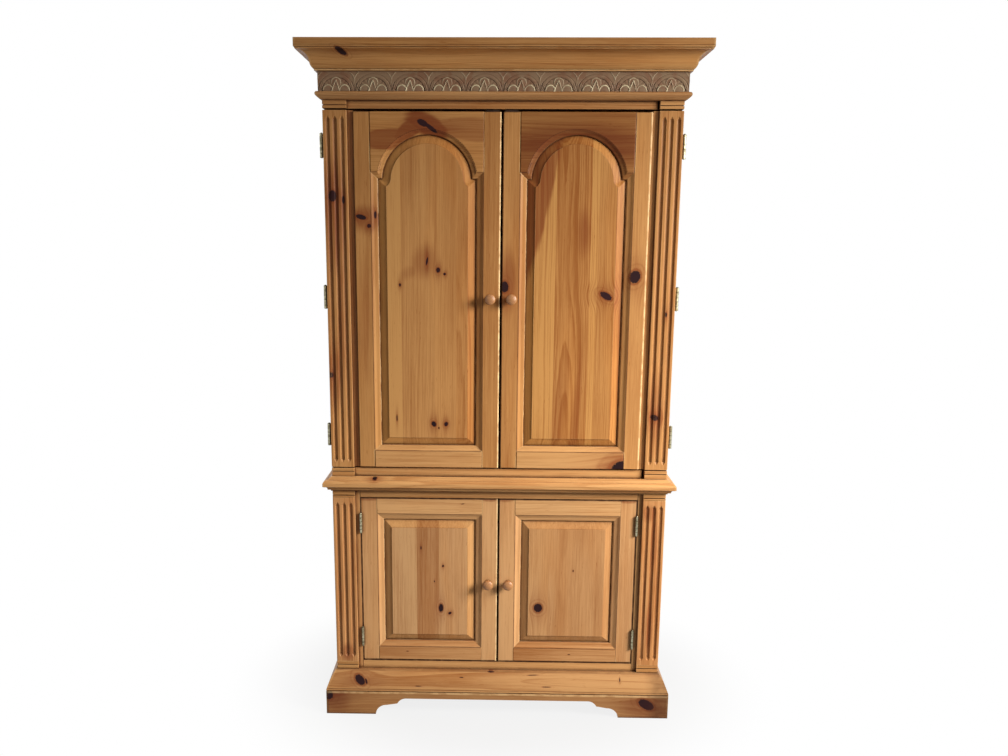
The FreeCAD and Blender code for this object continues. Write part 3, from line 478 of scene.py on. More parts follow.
def pine(name, upright=True, flank=False, knots=(), hearts=(), staves=(), ring=0.008, figuring=0.4,
         stain=(1, 1, 1), fill=0.5, slope_shade=0.0, wear_and_highlight=0.25, gloss=0.15, bands=(), pin=None):
    """Lacquered pine for one board or a few. A knot is (across the view, up, half its width, half
    its height, turn in degrees, glow) in metres on the front, or on the side where flank is set,
    and a patch of heartwood ends in strength and softness instead. Staves are (right edge, lighter,
    redder) of the strips that a panel is glued from. A higher fill keeps more glaze and painted
    shade in the hollows, thirsty paints shade, darker and warmer, on the sloping faces, wear pales
    the edges, partly as rubbed wood and partly as a painted highlight, pin is the axis of a turned
    piece. Bands are (axis, place, half width, depth): a dark line along an edge, or, where depth is
    negative, a pale one; the notes where they are given say which paint shade and which paint
    highlights. They stay off the faces that look to the back."""
    finish, tree = new_finish(name)
    spot = split(tree, own_frame(tree))
    side = spot[1 if flank else 0]
    place = joined(tree, side, spot[2]) if upright else joined(tree, spot[2], side)
    marks = placed_marks(tree, knot_nodes, place, knots, upright, ["Glow"], knot_marks)
    marks.update(placed_marks(tree, heart_nodes, place, hearts, upright, ["Strength", "Softness"], ["Heart"]))
    figure = stored(tree, "figure", "Vector")
    lighter, redder, thinness = split(tree, stored(tree, "stock", "Vector"))
    if pin:
        turned = split(tree, vector(tree, "SUBTRACT", own_frame(tree), pin))
        figure = joined(tree, turned[0], turned[2], turned[1])
    if staves:
        low = staves[0][0] - 0.5
        span = staves[-1][0] - low + 0.01
        strip = shade(tree, "ValToRGB", [(0, calc(tree, "DIVIDE", calc(tree, "SUBTRACT", side, low), span))])
        ramp = strip.color_ramp
        ramp.interpolation = "CONSTANT"
        while len(ramp.elements) < len(staves):
            ramp.elements.new(0.5)
        start = 0.0
        dice = np.random.default_rng(zlib.crc32(name.encode()))
        for element, (edge, lift, warm) in zip(ramp.elements, staves):
            element.position = start
            element.color = (0.5 + lift / 2, 0.5 + warm / 2, dice.random(), 1)
            start = (edge - low) / span
        cut = shade(tree, "SeparateColor", [(0, strip.outputs[0])]).outputs
        lighter = calc(tree, "ADD", lighter, scaled(tree, cut[0], 2.0, -1.0))
        redder = calc(tree, "ADD", redder, scaled(tree, cut[1], 2.0, -1.0))
        hop = joined(tree, times(tree, cut[2], 0.11), 0.0, times(tree, cut[2], 7.0))
        figure = vector(tree, "ADD", figure, hop)
    early, late, red = (tuple(np.array(srgb(*color)) * (*stain, 1)) for color in (
        (209, 159, 104), (160, 103, 55), (140, 76, 42)))
    feeds = {"Figure": figure, "Lighter": lighter, "Redder": redder, "Ring": ring, "Figuring": figuring,
             "Early": early, "Late": late, "Red": red}
    wood = shade(tree, "Group", {**feeds, **marks}.items(), node_tree=pine_nodes)
    color = wood.outputs["Color"]
    # Painted shade on the sloping faces of mouldings and panels, darker and warmer.
    if slope_shade:
        facing = split(tree, own_frame(tree, "Normal"))[1]
        slope = times(tree, soft_step(tree, facing, -0.997, -0.985), slope_shade)
        color = tint(tree, slope, color, (1.0, 0.84, 0.52, 1), "MULTIPLY")
    feeds = {"Color": color, "Fill": fill, "Wear": wear_and_highlight}
    # The line of glaze and painted shade that board() keeps along moulded edges.
    if not pin:
        feeds["Line"] = times(tree, calc(tree, "POWER", stored(tree, "glaze_and_shade_line"), thinness), 0.9)
    color = shade(tree, "Group", feeds.items(), node_tree=glaze_wear_and_painted_light_nodes).outputs["Color"]
    if bands:
        patchy = speckle(tree, own_frame(tree), 34.0, detail=3.0)[0]
        not_behind = soft_step(tree, split(tree, own_frame(tree, "Normal"))[1], 0.3, 0.05)
    # A band darkens a strip along an edge, or pales it where depth is negative; along the doors' gaps and
    # edges they paint shade and highlights.
    for axis, middle, width, depth in bands:
        away = calc(tree, "ABSOLUTE", calc(tree, "SUBTRACT", spot["xyz".index(axis)], middle))
        thinnest, painted_line_color = (0.72, srgb(58, 27, 15)) if depth > 0 else (0.35, srgb(246, 208, 152))
        held = soft_step(tree, patchy, 0.36, 0.56, thinnest, 1.0)
        strip = times(tree, soft_step(tree, away, width, width * 0.35, 0.0, abs(depth)), held)
        strip = times(tree, strip, not_behind)
        color = tint(tree, strip, color, painted_line_color)
    relief = shade(tree, "Bump", (
        ("Strength", 0.25), ("Distance", 0.0006), ("Height", wood.outputs["Height"])))
    coat(tree, shade(tree, "BsdfPrincipled", (
        ("Base Color", color), ("Roughness", wood.outputs["Roughness"]),
        ("Normal", relief.outputs[0]), ("Specular IOR Level", gloss))))
    return finish


skirt_pine = pine("skirt_pine", upright=False, figuring=0.5, stain=(0.76, 0.74, 0.76), bands=[
    ("z", 0.082, 0.0035, 0.8), ("z", 0.09, 0.0016, 0.6), ("z", 0.146, 0.004, 0.35),
    ("x", 0.5695, 0.085, 0.45)], knots=[
    (-0.457, 0.117, 0.019, 0.012, -38, 0.7), (-0.458, 0.158, 0.003, 0.004, 0, 0.6),
    (0.409, 0.127, 0.0015, 0.006, 0, 0.2), (-0.436, 0.113, 0.003, 0.008, 20, 0.3),
    (-0.02, 0.1445, 0.01, 0.0022, 0, 0.2), (0.165, 0.104, 0.013, 0.0012, 0, 0.1),
    (0.12, 0.137, 0.016, 0.001, 2, 0.1), (-0.262, 0.101, 0.01, 0.0012, 0, 0.1),
    (-0.118, 0.128, 0.006, 0.0012, -4, 0.1)])
foot_pine = pine("foot_pine", upright=False, figuring=0.5, stain=(0.69, 0.66, 0.67), bands=[
    ("z", 0.0775, 0.0045, -0.45), ("x", 0.5695, 0.085, 0.55), ("x", -0.5695, 0.012, 0.5)], knots=[
    (0.497, 0.049, 0.028, 0.016, -30, 0.8), (-0.566, 0.072, 0.022, 0.017, -50, 1.2)],
    hearts=[(0.5, 0.03, 0.075, 0.03, -8, 0.45, 0.5), (-0.545, 0.055, 0.05, 0.04, -40, 0.6, 0.5)])
board("plinth_front", foot_pine)
side_foot_pine = pine("side_foot_pine", upright=False, flank=True, stain=(0.66, 0.62, 0.62), knots=[
    (0.13, 0.088, 0.014, 0.01, 10, 0.8), (-0.19, 0.104, 0.006, 0.005, 0, 0.6)])
board("plinth_sides", side_foot_pine, grain="y")
board("base_moulding", skirt_pine, ease=0, tones=((0.08, 0.0),))


# ======================================== lower case
# Solid sides, floor, shelf and top of glued pine staves, a face frame round the doors and a thin
# tongued back. The boards are dowelled together, and the shelf lies loose on steel pins.
def glued(name, low, high, flank=False, upright=True, count=5, knots=(), hearts=()):
    """Pine of staves of uneven width between two edges."""
    dice = np.random.default_rng(zlib.crc32(name.encode()))
    widths = dice.uniform(0.8, 1.2, count)
    edges = low + (high - low) * np.cumsum(widths) / widths.sum()
    staves = [(edge, dice.uniform(-0.16, 0.16), dice.uniform(-0.08, 0.12)) for edge in edges]
    return pine(name, upright, flank, knots, hearts, staves, stain=(0.86, 0.83, 0.79))


case_low, case_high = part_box("lower_sides")
lower_side_pine = glued("lower_side_pine", case_low.y, case_high.y, flank=True, knots=[
    (0.05, 0.55, 0.01, 0.018, 24, 1.0), (0.21, 0.31, 0.014, 0.008, -15, 1.0),
    (-0.1, 0.24, 0.003, 0.009, 6, 0.8)],
    hearts=[(0.06, 0.56, 0.035, 0.13, 0, 0.5, 0.5)])
inner_pine = pine("inner_pine")
# The dark bands on the face frame are painted shade in the gaps round the doors.
rail_pine = pine("rail_pine", upright=False, bands=[("z", 0.7425, 0.003, 0.85), ("z", 0.1745, 0.003, 0.85)])
frame_pine = pine("frame_pine", bands=[("x", -0.4485, 0.003, 0.8), ("x", 0.4485, 0.003, 0.8)], knots=[
    (-0.447, 0.1655, 0.0025, 0.0035, 0, 0.3)])
back_pine = glued("back_pine", case_low.x, case_high.x, count=9)
board("lower_sides", lower_side_pine)
board("lower_back", back_pine, grain="z", slot="back_panel")
for node in ("lower_floor", "lower_top", "lower_shelf"):
    board(node, inner_pine)
board("lower_frame_stiles", frame_pine)
board("lower_top_rail", rail_pine)
board("lower_bottom_rail", rail_pine, ease=0)


# ======================================== pilasters and their blocks
# Flat pine boards with three stopped flutes, between small grooved blocks. The lower pair is glued
# to the face frame, and the upper pair to the hinge boards, so it opens with the doors.
amber = (0.86, 0.78, 0.66)
# The pilasters' pale flute rims are partly painted highlights.
lower_pilaster_pine = pine("lower_pilaster_pine", figuring=0.5, stain=(0.93, 0.84, 0.82), wear_and_highlight=0.6, hearts=[
    (0.488, 0.7, 0.022, 0.026, 0, 0.6, 0.5), (0.505, 0.6, 0.01, 0.09, 0, 0.5, 0.5),
    (0.5, 0.3, 0.012, 0.08, 0, 0.5, 0.5), (-0.5, 0.205, 0.018, 0.03, 0, 0.7, 0.5)])
upper_pilaster_pine = pine("upper_pilaster_pine", figuring=0.5, stain=(0.93, 0.86, 0.77), wear_and_highlight=0.6, knots=[
    (-0.513, 1.694, 0.012, 0.017, 0, 1.0), (-0.48, 1.683, 0.004, 0.012, 0, 0.8),
    (-0.531, 1.145, 0.007, 0.009, 0, 0.8), (0.489, 1.017, 0.013, 0.009, -20, 1.0),
    (0.51, 1.342, 0.003, 0.007, 0, 0.8)],
    hearts=[(-0.505, 1.64, 0.03, 0.16, 0, 0.7, 0.5), (-0.52, 1.145, 0.02, 0.1, 0, 0.6, 0.5),
            (-0.49, 1.35, 0.012, 0.2, 0, 0.5, 0.4), (0.49, 1.03, 0.022, 0.12, 0, 0.5, 0.5)])
block_pine = pine("block_pine", upright=False, stain=(0.93, 0.88, 0.8))
board("lower_pilasters", lower_pilaster_pine)
board("pilaster_blocks", block_pine, grain="x")
board("upper_left_pilaster", upper_pilaster_pine)
board("upper_right_pilaster", upper_pilaster_pine)
# The two hinge strips are shaded and lit copies of one pine: the left is stained darker as painted shade, the
# right lighter as painted light, with a painted shadow line beside its pilaster.
shaded_strip_pine = pine("shaded_strip_pine", stain=(0.8, 0.66, 0.62), fill=0.35)
strip_pine = pine("strip_pine", stain=(1.15, 1.1, 1.05), fill=0.15, bands=[("x", 0.4645, 0.0035, 0.8)])
board("upper_left_hinge_board", shaded_strip_pine)
board("upper_right_hinge_board", strip_pine)


# ======================================== lower doors
# Framed doors with raised panels: stiles and rails with a moulded inner edge, tenoned and mitred,
# and a fielded panel of glued staves that floats in their groove.
quiet = 0.18    # figuring of the plain, slowly grown boards that doors are made of
moulded = {"ease": 0.0036, "quirk": 0.4}
fielded = {"grain": "z", "quirk": 8.0, "crease": 14}
# The dark bands along the doors paint the shade in the gaps round them, and the pale band on the left door's
# closing edge is a painted highlight; the paler edges of the stiles are partly painted highlights too.
door_ends = [("z", 0.7409, 0.004, 0.9), ("z", 0.1761, 0.0046, 0.95)]
lower_stile_pine = pine("lower_stile_pine", figuring=quiet, wear_and_highlight=0.8, stain=(0.98, 0.99, 1.1), hearts=[
    (-0.422, 0.738, 0.034, 0.0065, 0, 0.6, 0.4), (-0.028, 0.738, 0.024, 0.0055, 0, 0.6, 0.4),
    (0.022, 0.738, 0.022, 0.006, 0, 0.5, 0.4), (0.418, 0.738, 0.03, 0.006, 0, 0.6, 0.4)],
    bands=door_ends + [("x", -0.4469, 0.0034, 0.9), ("x", 0.4469, 0.0034, 0.9),
                       ("x", 0.0027, 0.003, 0.8), ("x", -0.0045, 0.0032, -0.85)])
lower_rail_pine = pine("lower_rail_pine", upright=False, figuring=quiet, stain=(1.03, 1.08, 1.2),
                       bands=door_ends, knots=[
    (-0.116, 0.724, 0.005, 0.0012, 12, 0.1), (-0.3, 0.207, 0.004, 0.0012, 0, 0.1),
    (0.24, 0.203, 0.004, 0.0014, 0, 0.1)])
lower_left_panel_pine = pine("lower_left_panel_pine", figuring=quiet, stain=(0.9, 0.93, 1.08), slope_shade=0.5,
                             staves=[
    (-0.268, 0.1, -0.1), (-0.194, -0.3, 0.12), (-0.107, 0.02, 0.15), (0.0, 0.08, 0.0)], knots=[
    (-0.1875, 0.363, 0.0075, 0.014, 0, 0.6), (-0.158, 0.345, 0.006, 0.004, 30, 0.6),
    (-0.1805, 0.51, 0.003, 0.004, 0, 0.6), (-0.2526, 0.572, 0.002, 0.006, 0, 0.6),
    (-0.209, 0.456, 0.0016, 0.003, 0, 0.5)])
lower_right_panel_pine = pine("lower_right_panel_pine", figuring=quiet, stain=(0.84, 0.84, 0.92),
                              slope_shade=0.25, staves=[
    (0.163, 0.06, 0.05), (0.5, -0.02, 0.15)], knots=[
    (0.134, 0.367, 0.014, 0.015, 0, 0.5), (0.247, 0.4985, 0.002, 0.003, 0, 0.3)])
for side in ("left", "right"):
    board(f"lower_{side}_stiles", lower_stile_pine, **moulded)
    board(f"lower_{side}_rails", lower_rail_pine, tones=((0.0, 0.0), (-0.35, 0.2)), **moulded)
board("lower_left_panel", lower_left_panel_pine, **fielded)
board("lower_right_panel", lower_right_panel_pine, **fielded)


# ======================================== waist
# A nosed moulding of three mitred lengths that hides the joint between the two cabinets, and the
# rail that fills the gap between the base blocks of the upper one.
waist_pine = pine("waist_pine", upright=False, figuring=0.5, knots=[(-0.3975, 0.812, 0.007, 0.005, 0, 0.8)])
board("waist_moulding", waist_pine)
board("waist_rail", rail_pine)


# ======================================== upper case
# Sides, deck, top and shelf of glued pine staves, dowelled together like the lower case, with a
# thin tongued back. The sides are recessed for the hinges, and the shelf lies loose on steel pins.
upper_side_pine = glued("upper_side_pine", case_low.y, case_high.y, flank=True, knots=[
    (-0.05, 1.72, 0.009, 0.017, 15, 1.0), (0.2, 1.42, 0.019, 0.011, -35, 1.0),
    (0.1, 1.02, 0.004, 0.012, 0, 0.8), (-0.14, 1.25, 0.0025, 0.006, 0, 0.7)],
    hearts=[(0.2, 1.45, 0.04, 0.2, 0, 0.5, 0.4), (-0.05, 1.7, 0.03, 0.14, 0, 0.45, 0.5)])
hinge_recess_ease = 0.0008      # the recesses leave 1 mm of the side's front edge
board("upper_sides", upper_side_pine, ease=hinge_recess_ease)
board("upper_back", back_pine, grain="z", slot="back_panel")
for node in ("tv_deck", "upper_top", "upper_shelf", "upper_header"):
    board(node, inner_pine)
top_rail_pine = pine("top_rail_pine", upright=False, figuring=0.6, stain=(0.88, 0.82, 0.78))
board("upper_top_rail", top_rail_pine)


# ======================================== upper doors
# Tall framed doors: the top rail is one wide board sawn to an arch, and the moulding steps round
# its shoulders. The panels are glued from staves of unlike tone.
# The dark bands paint the shade in the gaps round the doors, the pale band on the left door's closing edge is
# a painted highlight, and the pale band on the right door's outer edge is wear; the paler edges of the stiles
# are partly painted highlights too.
upper_ends = [("z", 1.941, 0.0035, 0.8), ("z", 0.8465, 0.0035, 0.8)]
upper_left_stile_pine = pine("upper_left_stile_pine", figuring=quiet, stain=amber, wear_and_highlight=0.9,
                             bands=upper_ends + [("x", -0.0045, 0.0032, -0.9), ("x", -0.447, 0.003, 0.7)],
                             knots=[
    (-0.427, 1.6325, 0.016, 0.007, -14, 0.8), (-0.403, 1.606, 0.006, 0.006, 0, 0.8),
    (-0.384, 1.639, 0.004, 0.011, 0, 0.6)],
    hearts=[(-0.415, 1.625, 0.04, 0.035, 0, 0.55, 0.6), (-0.42, 1.3, 0.02, 0.16, 0, 0.3, 0.6)])
upper_right_stile_pine = pine("upper_right_stile_pine", figuring=quiet, wear_and_highlight=0.9, stain=(0.92, 0.84, 0.72),
                              bands=upper_ends + [("x", 0.0027, 0.003, 0.8), ("x", 0.4432, 0.003, -0.9)],
                              knots=[
    (0.0115, 1.424, 0.012, 0.017, 0, 0.8), (0.4105, 1.457, 0.016, 0.02, -20, 0.6)],
    hearts=[(0.02, 1.44, 0.025, 0.09, 0, 0.5, 0.5)])
upper_left_arch_pine = pine("upper_left_arch_pine", upright=False, ring=0.007, stain=amber, knots=[
    (-0.238, 1.908, 0.017, 0.009, -28, 0.9), (-0.213, 1.893, 0.022, 0.006, -36, 0.8)], hearts=[
    (-0.345, 1.862, 0.08, 0.03, 4, 0.75, 0.14), (-0.272, 1.893, 0.062, 0.024, 32, 0.85, 0.14),
    (-0.225, 1.903, 0.07, 0.03, -26, 1.0, 0.22), (-0.09, 1.89, 0.11, 0.034, -4, 0.5, 0.14)])
upper_right_arch_pine = pine("upper_right_arch_pine", upright=False, ring=0.007, stain=(0.6, 0.49, 0.38),
                             hearts=[
    (0.225, 1.845, 0.24, 0.055, 0, 0.8, 0.5), (0.11, 1.8, 0.1, 0.06, 0, 0.5, 0.5)])
upper_left_panel_pine = pine("upper_left_panel_pine", figuring=0.36, ring=0.0065, slope_shade=0.4,
                             stain=(0.88, 0.81, 0.71), staves=[
    (-0.31, 0.18, -0.2), (-0.207, 0.0, 0.0), (-0.139, 0.02, 0.15), (0.0, -0.1, 0.3)], knots=[
    (-0.227, 1.501, 0.003, 0.012, -10, 1.2), (-0.193, 1.474, 0.006, 0.008, 0, 0.8),
    (-0.173, 1.462, 0.004, 0.004, 0, 0.8), (-0.311, 1.428, 0.003, 0.005, 0, 0.8),
    (-0.208, 0.99, 0.007, 0.009, 30, 0.8), (-0.169, 0.99, 0.006, 0.007, -30, 0.8),
    (-0.192, 0.977, 0.002, 0.003, 0, 0.6), (-0.325, 1.008, 0.002, 0.01, 0, 0.6)],
    hearts=[(-0.235, 1.5, 0.035, 0.045, -20, 0.45, 0.6), (-0.275, 1.47, 0.035, 0.016, 30, 0.35, 0.7)])
upper_right_panel_pine = pine("upper_right_panel_pine", figuring=0.6, ring=0.0065, slope_shade=0.4,
                              stain=(0.87, 0.77, 0.61), staves=[
    (0.165, 0.16, -0.2), (0.272, -0.18, 0.2), (0.293, 0.17, -0.1), (0.5, 0.0, 0.1)], knots=[
    (0.324, 1.398, 0.02, 0.01, -30, 0.7)],
    hearts=[(0.13, 1.83, 0.045, 0.42, -10, 0.8, 0.12), (0.252, 1.59, 0.018, 0.06, 0, 0.6, 0.7),
            (0.19, 1.05, 0.02, 0.16, -6, 0.35, 0.6), (0.24, 1.02, 0.012, 0.2, -4, 0.4, 0.6)])
upper_rail_pine = pine("upper_rail_pine", upright=False, figuring=quiet, knots=[
    (0.402, 0.846, 0.043, 0.03, 0, 0.5)], hearts=[(0.39, 0.85, 0.07, 0.045, 0, 0.5, 0.3)])
for side, stile, arch, panel in (
        ("left", upper_left_stile_pine, upper_left_arch_pine, upper_left_panel_pine),
        ("right", upper_right_stile_pine, upper_right_arch_pine, upper_right_panel_pine)):
    board(f"upper_{side}_stiles", stile, tones=((0.0, 0.0), (-0.16, 0.1)), **moulded)
    board(f"upper_{side}_top_rail", arch, grain="x", **moulded)
    board(f"upper_{side}_bottom_rail", upper_rail_pine, **moulded)
    board(f"upper_{side}_panel", panel, **fielded)


# ======================================== astragal and cornice
# The astragal is a round nose nailed on under the carving. The cornice is one wide moulding with
# a fascia, a step and a cove, in three mitred lengths.
nose_pine = pine("nose_pine", upright=False, stain=(0.94, 0.97, 1.06))
# The pale band on the cornice's lower fillet is a painted highlight, and its paled edges are partly painted
# highlights too.
cornice_pine = pine("cornice_pine", upright=False, figuring=0.45, stain=(1.04, 1.05, 1.02), wear_and_highlight=0.5,
                    bands=[("z", 2.0545, 0.0022, -0.5), ("z", 2.1145, 0.0014, 0.6)],
                    knots=[(-0.468, 2.1, 0.016, 0.0065, -26, 0.4)])
board("astragal", nose_pine, tones=((0.0, 0.15),))
board("cornice", cornice_pine, tones=((0.0, 0.3),))


# ======================================== carved frieze
# A pine band carved with lunettes, each with two lobes and a leaf, and a spray between them.
# Its ground is glazed taupe, and the crests are rubbed back to the pale wood.
def ridge(distance, width):
    """1 on a line and 0 away from it, falling off softly over width."""
    return np.exp(-(distance / width) ** 2)


def carving(s, t, pitch):
    """Height of the carving from 0 to 1, and how pale its crests are rubbed. s runs along the band
    from the middle of a lunette and t up from its foot, in metres. The arches are ellipses about
    the foot, the lobes are half domes with a rim, and the leaf is a ringed dome between two ribs.
    Short strokes fan out of the joint of two arches."""
    lobe_middle, lobe_width, lobe_height = 0.0245, 0.0152, 0.0172
    leaf_middle, leaf_radius = 0.0255, 0.014
    arch = np.hypot(s, t / 0.93)
    inside = 1 / (1 + np.exp((arch - 0.0432) / 0.0008))
    band = 1 / (1 + np.exp((np.abs(arch - 0.0482) - 0.004) / 0.0006))
    height = 0.52 + 0.16 * band - 0.1 * inside
    rays = np.cos(np.arctan2(s, t + 0.004) * 22)
    height += 0.05 * rays * inside * np.clip(arch / 0.02 - 0.8, 0, 1)
    pale = np.zeros_like(height)
    for middle in (-lobe_middle, lobe_middle):
        lobe = np.hypot((s - middle) / lobe_width, (t - 0.002) / lobe_height)
        dome = np.sqrt(np.clip(1 - lobe ** 2, 0, 1))
        height = np.where(lobe < 1, 0.42 + 0.34 * dome, height)
        rim = ridge((lobe - 0.95) * 0.016, 0.0016) * np.clip(t / 0.006, 0, 1)
        height += 0.3 * rim
        pale = np.maximum(pale, rim)
    leaf = np.hypot(s / leaf_radius, (t - leaf_middle) / leaf_radius)
    clear = np.hypot((np.abs(s) - lobe_middle) / lobe_width, t / lobe_height) > 1.02
    height = np.where((leaf < 1) & clear, 0.42 + 0.22 * np.sqrt(np.clip(1 - leaf ** 2, 0, 1)), height)
    ring = ridge((leaf - 0.98) * leaf_radius, 0.0012) * clear
    height += 0.2 * ring
    pale = np.maximum(pale, 0.65 * ring * np.clip((t - 0.016) / 0.016, 0.15, 1))
    rise = np.clip(t / 0.032, 0, 1)
    below = t < 0.0325
    for foot, strength in ((-0.014, 1.0), (0.0095, 0.65)):
        rib = ridge(s - foot * (1 - rise) ** 0.9, 0.0012 + 0.0006 * (1 - rise)) * below
        height += 0.34 * rib
        pale = np.maximum(pale, rib * strength)
    stem = below & (s > -0.0125 * (1 - rise) ** 0.75) & (s < 0.0082 * (1 - rise) ** 0.75)
    height = np.where(stem, np.maximum(height, 0.62), height)
    far = pitch / 2 - np.abs(s)
    bend = 0.012 * np.clip((t - 0.036) / 0.018, 0, 1) ** 1.6
    curl = ridge(far - 0.0005 - bend, 0.0011) * (t > 0.034) * (t < 0.0545)
    spine = ridge(far, 0.0011) * (t > 0.022) * (t < 0.044)
    spray = np.maximum(curl, 0.5 * spine)
    height += 0.22 * spray
    pale = np.maximum(pale, 0.4 * spray)
    for radius, depth in ((0.0428, 0.24), (0.0465, 0.12), (0.0502, 0.12), (0.0537, 0.2)):
        height -= depth * ridge(arch - radius, 0.001)
    strokes = 0.5 + 0.5 * np.cos(np.arctan2(far, t + 0.012) * 34)
    in_joint = (far < 0.015) * (np.abs(s) > 0.04)
    height -= 0.34 * strokes ** 2 * in_joint * np.clip(1.25 - t / 0.026, 0, 1)
    return np.clip(height, 0, 1), np.clip(pale, 0, 1)


def carved_band(name, node, start, end, out, lunettes, columns, rows):
    """Closed board from start to end (along the band) whose outward face is carved. Its section is
    a loop of the carved face and two corners behind it, carried along the band, with flat ends."""
    low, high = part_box(node)
    start, end, out = (np.array(place, float) for place in (start, end, out))
    depth = 0.0052
    thickness = 0.0098
    fillet = 0.0012
    u = np.linspace(0, 1, lunettes * columns + 1)
    v = np.linspace(0, 1, rows)
    pitch = np.linalg.norm(end - start) / lunettes
    run, rise = np.meshgrid(u * lunettes * pitch, v * (high.z - low.z), indexing="ij")
    height, pale = carving((run % pitch) - pitch / 2, rise, pitch)
    border = np.minimum(rise, high.z - low.z - rise)
    height = np.where(border < fillet, 0.55, height)
    along = (end - start) / np.linalg.norm(end - start)
    face = start + run[..., None] * along + (height[..., None] - 1) * depth * out
    face[..., 2] = low.z + rise
    back = start + (run[:, :1, None] * along) - thickness * out
    foot = back.copy()
    foot[..., 2] = low.z
    head = back.copy()
    head[..., 2] = high.z
    points = np.concatenate([face, head, foot], axis=1)
    pale = np.pad(pale, ((0, 0), (0, 2)))
    height = np.pad(height, ((0, 0), (0, 2)), constant_values=0.5)
    loops, around = points.shape[:2]
    index = np.arange(loops * around).reshape(loops, around)
    near = index[:-1]
    far = index[1:]
    faces = np.stack([near, far, np.roll(far, -1, axis=1), np.roll(near, -1, axis=1)], axis=-1).reshape(-1, 4)
    mesh = bpy.data.meshes.new(name)
    caps = [index[0].tolist(), index[-1][::-1].tolist()]
    mesh.from_pydata(points.reshape(-1, 3), [], faces.tolist() + caps)
    for label, values in (("pale", pale), ("height", height)):
        values = values.reshape(-1).astype(np.float32)
        mesh.attributes.new(label, "FLOAT", "POINT").data.foreach_set("value", values)
    shape = bmesh.new()
    shape.from_mesh(mesh)
    bmesh.ops.recalc_face_normals(shape, faces=shape.faces)
    shape.to_mesh(mesh)
    shape.free()
    mesh.shade_smooth()
    mesh.set_sharp_from_angle(angle=math.radians(80))
    piece = placed(name, mesh)
    mesh.materials.append(carved_finish)
    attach(piece, "case")
    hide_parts(node)


carved_finish, tree = new_finish("carved_finish")
spot = own_frame(tree)
worn = speckle(tree, spot, 38.0, detail=3.0)[0]
dusty = speckle(tree, spot, 9.0)[0]
grain = speckle(tree, spot, 1.0, (14, 14, 500))[0]
glaze = tint(tree, dusty, srgb(142, 108, 84), srgb(156, 134, 104))
brown = soft_step(tree, speckle(tree, spot, 30.0)[0], 0.48, 0.66, 0.0, 0.6)
glaze = tint(tree, brown, glaze, srgb(132, 88, 62))
glaze = tint(tree, times(tree, grain, 0.35), glaze, srgb(118, 82, 60))
deep = soft_step(tree, stored(tree, "height"), 0.46, 0.22)
glaze = tint(tree, times(tree, deep, 0.75), glaze, srgb(70, 42, 28))
rubbed = times(tree, stored(tree, "pale"), soft_step(tree, worn, 0.3, 0.62, 0.35, 1.0))
crest = tint(tree, rubbed, glaze, srgb(240, 226, 188))
coat(tree, shade(tree, "BsdfPrincipled", (
    ("Base Color", crest), ("Roughness", 0.55), ("Specular IOR Level", 0.3))))

low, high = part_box("frieze_front")
carved_band("carved_frieze_front", "frieze_front", (low.x, low.y, 0), (high.x, low.y, 0), (0, -1, 0),
            lunettes=10, columns=118, rows=66)
low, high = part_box("frieze_returns")
carved_band("carved_frieze_left", "frieze_returns", (low.x, high.y, 0), (low.x, low.y, 0), (-1, 0, 0),
            lunettes=5, columns=96, rows=54)
carved_band("carved_frieze_right", "frieze_returns", (high.x, low.y, 0), (high.x, high.y, 0), (1, 0, 0),
            lunettes=5, columns=96, rows=54)


# ======================================== knobs
# Turned pine mushroom knobs, glued by a spigot into the closing stiles. The pith runs through them
# a little off their middle, from front to back, so the rings show on the face.
def coated(node, finish):
    """Gives a CAD node, which is shown as it is, its finish."""
    materials = frame["nodes"][node].data.materials
    materials.clear()
    materials.append(finish)


off_pith = Vector((0.011, 0.0, -0.006))
doors = [f"{level}_{side}" for level in ("upper", "lower") for side in ("left", "right")]
for door in doors:
    low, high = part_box(door + "_knob")
    pith = (low + high) / 2 + off_pith
    coated(door + "_knob", pine(
        door + "_knob_pine", ring=0.003, figuring=0.9, stain=(0.8, 0.71, 0.58), gloss=0.8,
        pin=(pith.x, 0.0, pith.z)))


# ======================================== hinges and small fittings
# Five-knuckle butt hinges of aged brass with loose pins, screwed on with countersunk screws. Inside
# are zinc-plated strikes and shelf pins, and moulded magnetic catches.
def patina(name, clean, aged, metallic, rough, scale, grime_and_shade=0.0):
    """A metal or plastic with a film of age that comes and goes over it, and a dark film, part soil and part
    painted shade, in its hollows and on its thin edges.
    """
    finish, tree = new_finish(name)
    spot = own_frame(tree)
    film = speckle(tree, spot, scale, detail=4.0)[0]
    fine = speckle(tree, spot, scale * 7)[0]
    cover = soft_step(tree, film, 0.38, 0.66)
    color = tint(tree, cover, clean, aged)
    # Soil and painted shade: darker in hollows and on thin edges.
    hollow = soft_step(tree, openness(tree, 0.01), 0.93, 0.62)
    edge = soft_step(tree, openness(tree, 0.0016, inside=True), 0.86, 0.6)
    dirt_and_shade = calc(tree, "MAXIMUM", hollow, edge)
    color = tint(tree, times(tree, dirt_and_shade, grime_and_shade), color, srgb(20, 15, 11))
    dull = scaled(tree, cover, 0.22, scaled(tree, fine, 0.12, rough))
    relief = shade(tree, "Bump", (("Strength", 0.2), ("Distance", 0.0002), ("Height", fine)))
    coat(tree, shade(tree, "BsdfPrincipled", (
        ("Base Color", color), ("Roughness", dull), ("Metallic", metallic), ("Normal", relief.outputs[0]))))
    return finish


